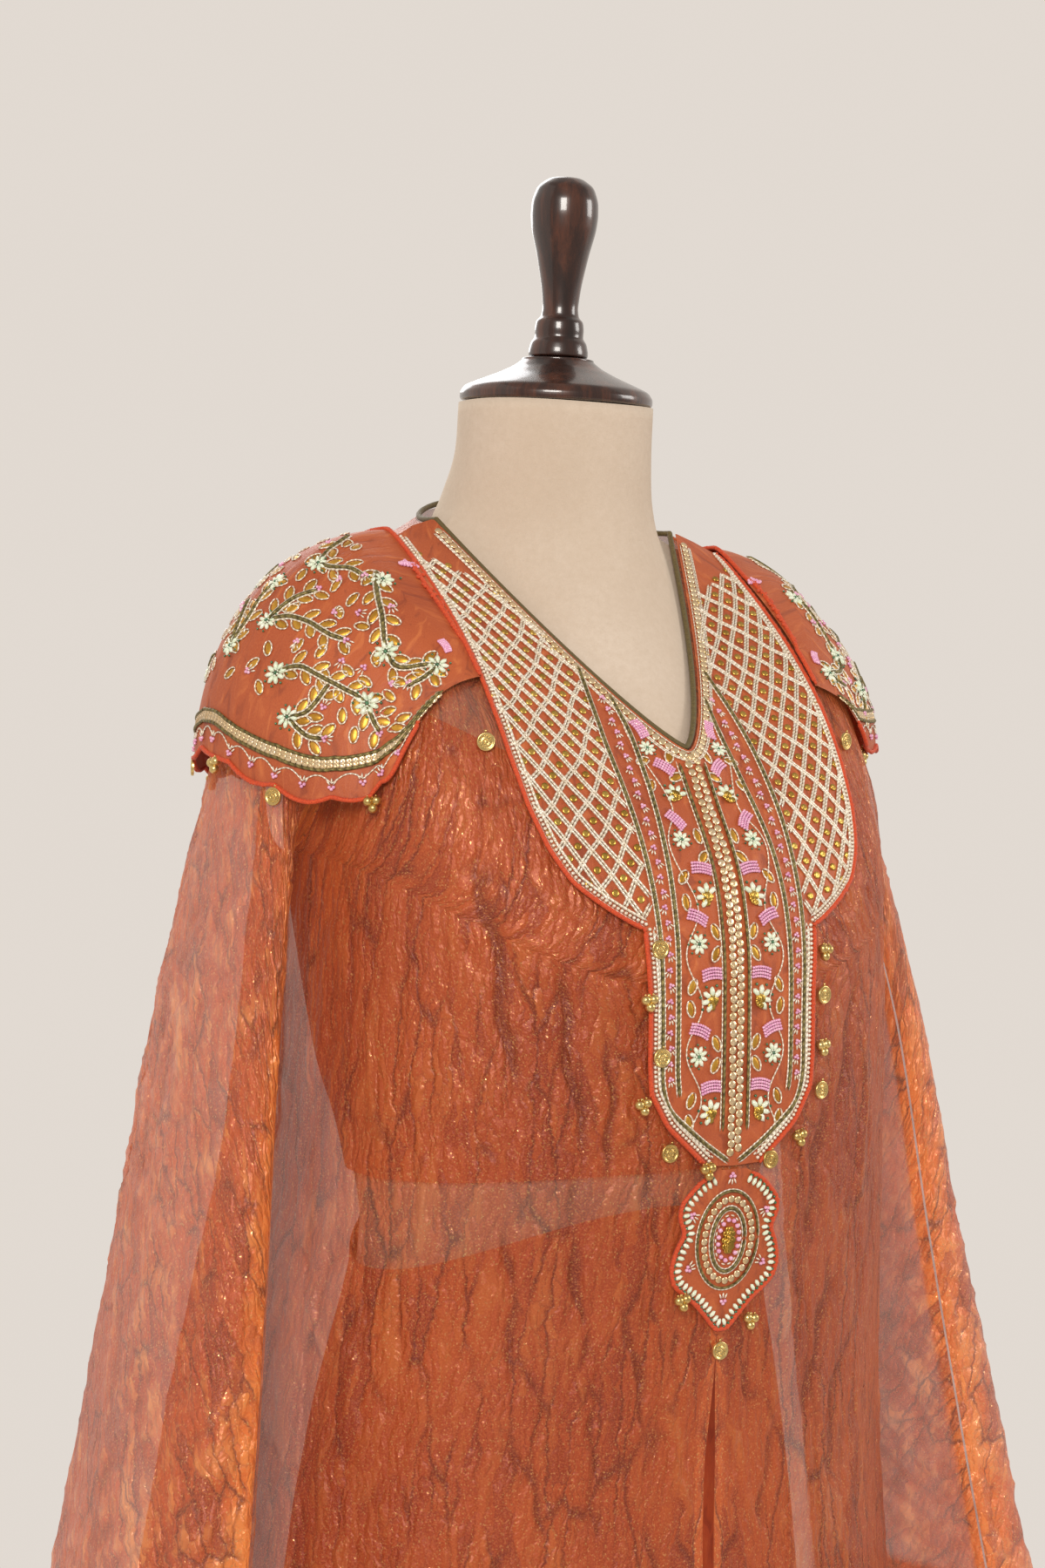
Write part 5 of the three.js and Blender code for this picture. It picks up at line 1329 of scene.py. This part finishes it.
for wide, tall, finish, radius in ((11.3, 18, 'olive', 0.9), (12.6, 19.3, 'silver', 0.45), (10.0, 16.7, 'silver', 0.45),
                                   (20.5, 27.5, 'olive', 0.7), (21.6, 28.6, 'silver', 0.4)):
    cord(finish, front, *oval(wide, tall), radius, None, 5, 2.4, 0)
beadRow('champagne', front, *oval(16.2, 23.2), (2.1, 2.1, 1.2), 4.5, 0.5, sequin)
beadRow('pink', front, *oval(7.0, 11.6), 1.5, 4.0, 0.9)
beadRow('silver', front, *oval(8.6, 14.0), (1.5, 0.55, 0.6), 4.0, 0.5)
for i, (grow, count) in enumerate(((4.2, 10), (2.6, 8), (1.2, 5))):
    t = np.linspace(0, 2 * np.pi, count, endpoint=False) + i
    scatter('gold', front, *front.move(0, ornamentV, 0.7 * grow * np.cos(t), 1.5 * grow * np.sin(t)), sequin,
            (1.7, 1.7, 2.4), t, 0.5 + 0.5 * i)
for x, y in ((0, 37), (26, 16), (26, -15), (-26, 16), (-26, -15), (0, -36)):
    sprig(front, *front.move(0, ornamentV, x, y), math.atan2(-y, -x) + math.pi, 0.95)


print('scene: beadwork of the caps')
# on a cap's map: (u, v, petal length), the points of each stem, and (u, v, angle) of the sprigs and the pink bars
capFlowers = [(141, 128, 6.6), (156, 104, 6.4), (104, 172, 7.0), (142, 80, 6.2), (164, 60, 6.4), (68, 118, 7.4),
              (33, 146, 6.6), (121, 61, 7.4), (62, 72, 7.4), (104, 41, 6.8), (208, 118, 6.8), (233, 74, 7.0),
              (262, 128, 6.8), (214, 52, 6.6), (282, 80, 6.6)]
capStems = [
    [(150, 160), (146, 146), (141, 128)], [(176, 92), (168, 76), (164, 60)],
    [(33, 146), (30, 128), (34, 112), (40, 100)], [(112, 172), (97, 158), (84, 146), (76, 132), (69, 119)],
    [(68, 118), (56, 112), (46, 122), (40, 136), (33, 146)],
    [(121, 61), (112, 70), (98, 74), (84, 76), (72, 74), (62, 72)], [(104, 41), (94, 50), (90, 62), (88, 74)],
    [(142, 80), (132, 92), (118, 98), (104, 98), (94, 104)], [(142, 80), (136, 102), (128, 116)],
    [(164, 60), (158, 78), (160, 94), (156, 104)], [(141, 128), (128, 140), (122, 152), (112, 158)],
    [(62, 72), (54, 60), (48, 52)], [(104, 41), (90, 38), (80, 40)], [(190, 130), (208, 118), (222, 100), (233, 74)],
    [(233, 74), (250, 92), (262, 128)], [(196, 60), (214, 52), (232, 62)], [(262, 108), (276, 92), (282, 80)]]
capSprigs = [(94, 104, 0.1), (128, 118, 1.7), (48, 50, -1.8), (80, 40, 0.2), (112, 160, 0.4), (176, 84, 2.4),
             (110, 112, -1.4), (98, 128, -0.6), (88, 92, 1.4), (40, 108, 1.3), (176, 122, 2.0), (152, 146, 1.7),
             (246, 104, 1.0), (190, 92, 1.5), (224, 134, 1.7), (268, 58, -0.6), (140, 50, -1.2), (118, 84, 1.2),
             (86, 58, -1.5), (74, 96, 1.8), (54, 96, -0.4), (86, 160, 0.3), (120, 138, 2.6)]
capBars = [(116, 186, 1.2), (46, 172, 0.2)]
capEdge = 318.9   # the lower edge that these were placed along


def stem(cloth, points, seed):
    # a tapered olive cord between silver lines, with leaves on alternate sides
    u, v = line(points, 60)
    cord('olive', cloth, u, v, 1.15)
    for side in (-1.5, 1.5):
        cord('silver', cloth, *cloth.aside(u, v, side), 0.6)
    a, b, along = cloth.even(u, v, 6.6, 0.55)
    for i, (x, y, angle) in enumerate(zip(a, b, along)):
        side = 1 if (i + seed) % 2 else -1
        lean = angle + side * 0.75
        leaf(cloth, *cloth.move(x, y, 7.2 * math.cos(lean), 7.2 * math.sin(lean)), 9.4, lean)


for hand in ('right', 'left'):
    cap = caps[hand + 'Map']
    size = cap.u[-1] / capEdge
    for x, y, length in capFlowers:
        flower(cap, x * size, y, length, False, x)
    used = [(x * size, y) for x, y, _ in capFlowers]
    for i, points in enumerate(capStems):
        points = np.array(points) * (size, 1)
        stem(cap, points, i)
        used += list(zip(*line(points, 9)))
    # single leaves fill the gaps that are left, each 12 or more from what is sewn already
    for x, y in np.random.default_rng(19).uniform((18, 44), (300, 168), (900, 2)):
        x = x * size
        if min(math.hypot(x - a, y - b) for a, b in used) > 12 and y < 44 + 0.9 * min(x, cap.u[-1] - x):
            leaf(cap, x, y, 8.6, (x * 7 + y * 3) % 6.28)
            used.append((x, y))
    for x, y, angle in capSprigs:
        sprig(cap, x * size, y, angle, 0.95)
    for x, y, angle in capBars:
        pinkBar(cap, x * size, y, angle, 8, 3.2)
    rim = np.linspace(0.5, cap.u[-1] - 0.5, 400)
    deep = np.linalg.norm(cap.blend(cap.up, rim, 0 * rim + 8), axis=-1)
    bays = np.pi * capLook['scallops'] / cap.u[-1]
    scallop = capLook['scallop'] * np.abs(np.sin(bays * rim))

    def high(up):
        # the map's v at a true height over the line that joins the scallops' points
        return np.minimum((up + scallop) / deep, cap.v[-1] - 2)

    for up, finish, radius in ((15.0, 'olive', 1.0), (21.6, 'olive', 1.0)):
        cord(finish, cap, rim, high(up), radius)
    for up, offset in ((17.3, 0), (19.5, 0.5)):
        a, b, angle = cap.even(rim, high(up), 3.6, offset)
        scatter('champagne', cap, a, b, sequin, (2.1, 2.1, 1.2), angle, 0.5)
    wave = np.abs(np.sin(2 * bays * rim))
    cord('silver', cap, rim, high(7.6 + 4.6 * wave), 0.5, None, 4, 1.6, 0)
    for x in np.arange(1, 18) / 18 * cap.u[-1]:
        deepHere = np.linalg.norm(cap.blend(cap.up, np.array(x), np.array(8.0)))
        sprig(cap, x, (5.0 + capLook['scallop'] * abs(math.sin(bays * x))) / deepHere, -math.pi / 2, 0.95)
    picotEdge(cap, rim, 0 * rim + 0.6, 41)
    picotEdge(cap, rim[8:-8], 0 * rim[8:-8] + cap.v[-1] - 0.8, 43)


print('scene: coins, bells and piping')
charmNodes = []
coinShape = ringsShape([(0.12, 1.55), (0.16, 1.3), (0.3, 1.3), (0.34, 1.55), (0.42, 1.55), (0.46, 1.25),
                        (0.78, 1.25), (0.82, 1.6), (0.96, 1.6), (1.0, 1.2), (1.0, 0.0)], 28)
bellShape = ringsShape([(np.sqrt(max(0.0001, 1 - h * h)), h) for h in np.cos(np.linspace(0.3, np.pi - 0.25, 9))], 16)


def charm(kind, point, facing, seed):
    # a coin or three bells, flat against the cloth, hanging from a small ring
    facing = np.array([facing[0], facing[1], 0.0]) / math.hypot(facing[0], facing[1])
    across = np.cross((0, 0, 1), facing)
    basis = np.stack([across, (0, 0, 1), facing])
    lean = 0.22 * math.sin(seed * 2.7)
    turn = np.array([[math.cos(lean), math.sin(lean), 0], [-math.sin(lean), math.cos(lean), 0], [0, 0, 1]])

    def put(shape, size, place):
        points = shape[0] * size + place
        thread['bell'].add((points @ turn) @ basis + point, shape[1], None, 0.5 + 0.5 * math.sin(seed))

    if kind == 'coin':
        put(coinShape, (5.2, 5.2, 1.0), (0, 0, 0))
        for count, reach in ((14, 3.1), (8, 1.1)):
            for a in np.linspace(0, 2 * np.pi, count, endpoint=False):
                put(ball, 0.42, (reach * math.cos(a), reach * math.sin(a), 1.3))
        put(ball, (0.9, 0.9, 0.7), (0, 6.0, 0.7))
    else:
        for a, b in ((-0.85, 0), (0.85, 0), (0, -1.45)):
            put(bellShape, 2.8, (a * 2.8, b * 2.8, 2.8))
            put(ball, (0.7, 0.7, 0.7), (a * 2.8, b * 2.8 + 2.9, 2.8))
        put(ball, (1.2, 1.2, 1.0), (0, 2.4, 2.2))


frontCharms = [
    [0, -50, 1187, 1.97], [1, -57.5, 1160, 1.75], [0, -49, 1128, 2.2], [1, -59, 1103, -1.1], [0, -41, 1075, -0.5],
    [1, -19, 1066, 1.8], [1, 65.5, 1184, -0.55], [0, 66, 1158, -0.4], [1, 64, 1130, -0.95], [0, 65, 1104, -0.45],
    [1, 47, 1080, -1], [0, 25, 1068, 2.2], [1, -29, 993, 1.5], [1, 20, 978, -0.15], [0, 1, 961, 0.4],
    [0, -125, 1298, 2], [0, 125, 1301, 2]]
capCharms = [
    [1, -58, -4.9, -0.8], [0, -28, -4.2, 2.4], [1, -3, 0.5, 0], [0, 24, -4.6, 2], [1, 50, -0.7, -0.7]]
for i, (kind, x, z, out) in enumerate(frontCharms):
    name = ('coin', 'bells')[kind]
    share = frontShare(x, z)
    point = onFront(x, share)
    across = onFront(x + 1, share) - onFront(x - 1, share)
    down = onFront(x, share + 0.002) - onFront(x, share - 0.002)
    facing = np.cross(down, across)
    facing = np.array([facing[0], facing[1], 0]) / math.hypot(facing[0], facing[1])
    charmNodes.append(f'{name}_front_{i + 1}')
    charm(name, point + facing * (0.8 + out), facing, i)
for hand, sign, row in (('left', 1, 2), ('right', -1, 3)):
    for i, values in enumerate(capCharms):
        name, bow = ('coin', 'bells')[values[0]], math.radians(values[1])
        y = capLook['centreY'] + (capLook['front'] if values[1] < 0 else capLook['back']) * math.sin(bow)
        low = float(readRows(capRim, 'turn', values[1])[hand]) - capLook['scallop'] - 2
        x = max(capLook['chordX'] + capLook['side'] * math.cos(bow),
                float(bodyAt(y, 2, low)[..., 0]) + capLook['clearance'])
        facing = np.array([sign * math.cos(bow), math.sin(bow), 0])
        charmNodes.append(f'{name}_cap_{hand}_{i + 1}')
        charm(name, np.array([sign * x, y, low]) + facing * (0.8 + values[row]), facing, i + 20 * sign)

# piping: a round cord just above the neckline's edge, the two ends meeting at the back
angle = np.linspace(np.pi / 2 + 0.012, np.pi * 2.5 - 0.012, 260)
edge = bodyPoint(angle, 0.0)
way = edge - bodyPoint(angle, 0.01)
way /= np.linalg.norm(way, axis=-1, keepdims=True)
middle = edge + way * 2.8
along = np.gradient(middle, axis=0)
along /= np.linalg.norm(along, axis=-1, keepdims=True)
beside = np.cross(along, way)
beside /= np.linalg.norm(beside, axis=-1, keepdims=True)
over = np.cross(beside, along)
turn = np.linspace(0, 2 * np.pi, 10, endpoint=False)
thick = np.full(260, 1.7)
thick[0] = thick[-1] = 0.05
ring = np.cos(turn)[:, None] * beside[:, None] + np.sin(turn)[:, None] * over[:, None]
tube = middle[:, None] + ring * thick[:, None, None]
run = np.cumsum(np.linalg.norm(np.gradient(middle, axis=0), axis=-1))
uv = np.stack(np.broadcast_arrays(run[:, None] * mm, turn / (2 * np.pi)), -1)
thread['piping'].add(tube, triangles(260, 10), uv)


print('scene: one piece for each finish')
pieceOf = dict(silver='silver_thread', olive='olive_cord', champagne='champagne_sequins', gold='gold_sequins',
               leaf='gold_leaves', mint='mint_beads', green='green_beads', pink='pink_beads', picot='picot_edging',
               piping='neck_piping', bell='coins_and_bells')
for name, batch in thread.items():
    if batch.count:
        faces = np.concatenate(batch.faces)
        made = setPiece(pieceOf[name], np.concatenate(batch.points), faces, finishes[name], np.concatenate(batch.uv),
                        dict(own=np.concatenate(batch.own)))
        if name == 'bell':
            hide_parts(*charmNodes)
        elif name == 'piping':
            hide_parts('neck_binding')
        else:
            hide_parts('bib')


print('scene: light and floor')
wallTone = (*linear(226, 218, 210), 1)
air = bpy.data.worlds.new('air')
bpy.context.scene.world = air
air.use_nodes = True
air.node_tree.nodes['Background'].inputs['Color'].default_value = wallTone
air.node_tree.nodes['Background'].inputs['Strength'].default_value = 0.5
bpy.context.scene.view_settings.view_transform = 'Standard'
lamps = [('key', (-2.2, -2.9, 2.6), 1.3, 105, (1, 0.96, 0.9)), ('side', (2.9, -1.6, 2.2), 1.2, 36, (1, 0.97, 0.93)),
         ('rear', (0.6, 2.4, 2.6), 1.6, 24, (0.97, 0.98, 1))]
for name, spot, size, power, tint in lamps:
    lamp = bpy.data.objects.new(name, bpy.data.lights.new(name, 'AREA'))
    lamp.data.size, lamp.data.energy, lamp.data.color = size, power, tint
    lamp.location = spot
    lamp.rotation_euler = (Vector((0, 0, 1.1)) - Vector(spot)).to_track_quat('-Z', 'Y').to_euler()
    bpy.context.scene.collection.objects.link(lamp)
# a glowing wall, half a drum round the back
wall = Paint('wall')
grain = wall.specks(wall.object(), 1.2, 2.0)
shade = wall.mix(grain * 0.3, linear(226, 218, 210), linear(223, 215, 207))
wallPaint = wall.finish((0, 0, 0, 1), Roughness=1.0, Emission_Color=shade, Emission_Strength=1.0,
                        Specular_IOR_Level=0.0)
turn = np.linspace(-0.35, np.pi + 0.1, 60)
wallReach, wallLow, wallHigh = 12.0, -5.5, 18.5
x, y = wallReach * np.cos(turn), wallReach * np.sin(turn)
points = np.concatenate([np.stack([x, y, 0 * x + h], -1) for h in (wallLow, wallHigh)])
j = np.arange(59)
mesh = bpy.data.meshes.new('wall')
mesh.from_pydata(points.tolist(), [], np.stack([j, j + 1, j + 61, j + 60], -1).tolist())
mesh.materials.append(wallPaint)
wallPiece = bpy.data.objects.new('wall', mesh)
bpy.context.scene.collection.objects.link(wallPiece)
p = Paint('floor')
where = p.object()
tone = p.mix(p.specks(where, 2.0, 2.0), linear(222, 214, 206), linear(230, 223, 215))
floorPaint = p.finish(tone, Roughness=0.8 + p.specks(where, 30.0) * 0.1)
angle = np.linspace(0, 2 * np.pi, 97)[:-1]
disc = np.concatenate([[[0, 0, -0.4]], np.stack([2000 * np.cos(angle), 2000 * np.sin(angle), 0 * angle - 0.4], -1)])
j = np.arange(96)
mesh = bpy.data.meshes.new('floor')
mesh.from_pydata((disc * mm).tolist(), [], np.stack([0 * j, 1 + j, 1 + (j + 1) % 96], -1).tolist())
mesh.materials.append(floorPaint)
floor = bpy.data.objects.new('floor', mesh)
bpy.context.scene.collection.objects.link(floor)

print('scene: done')
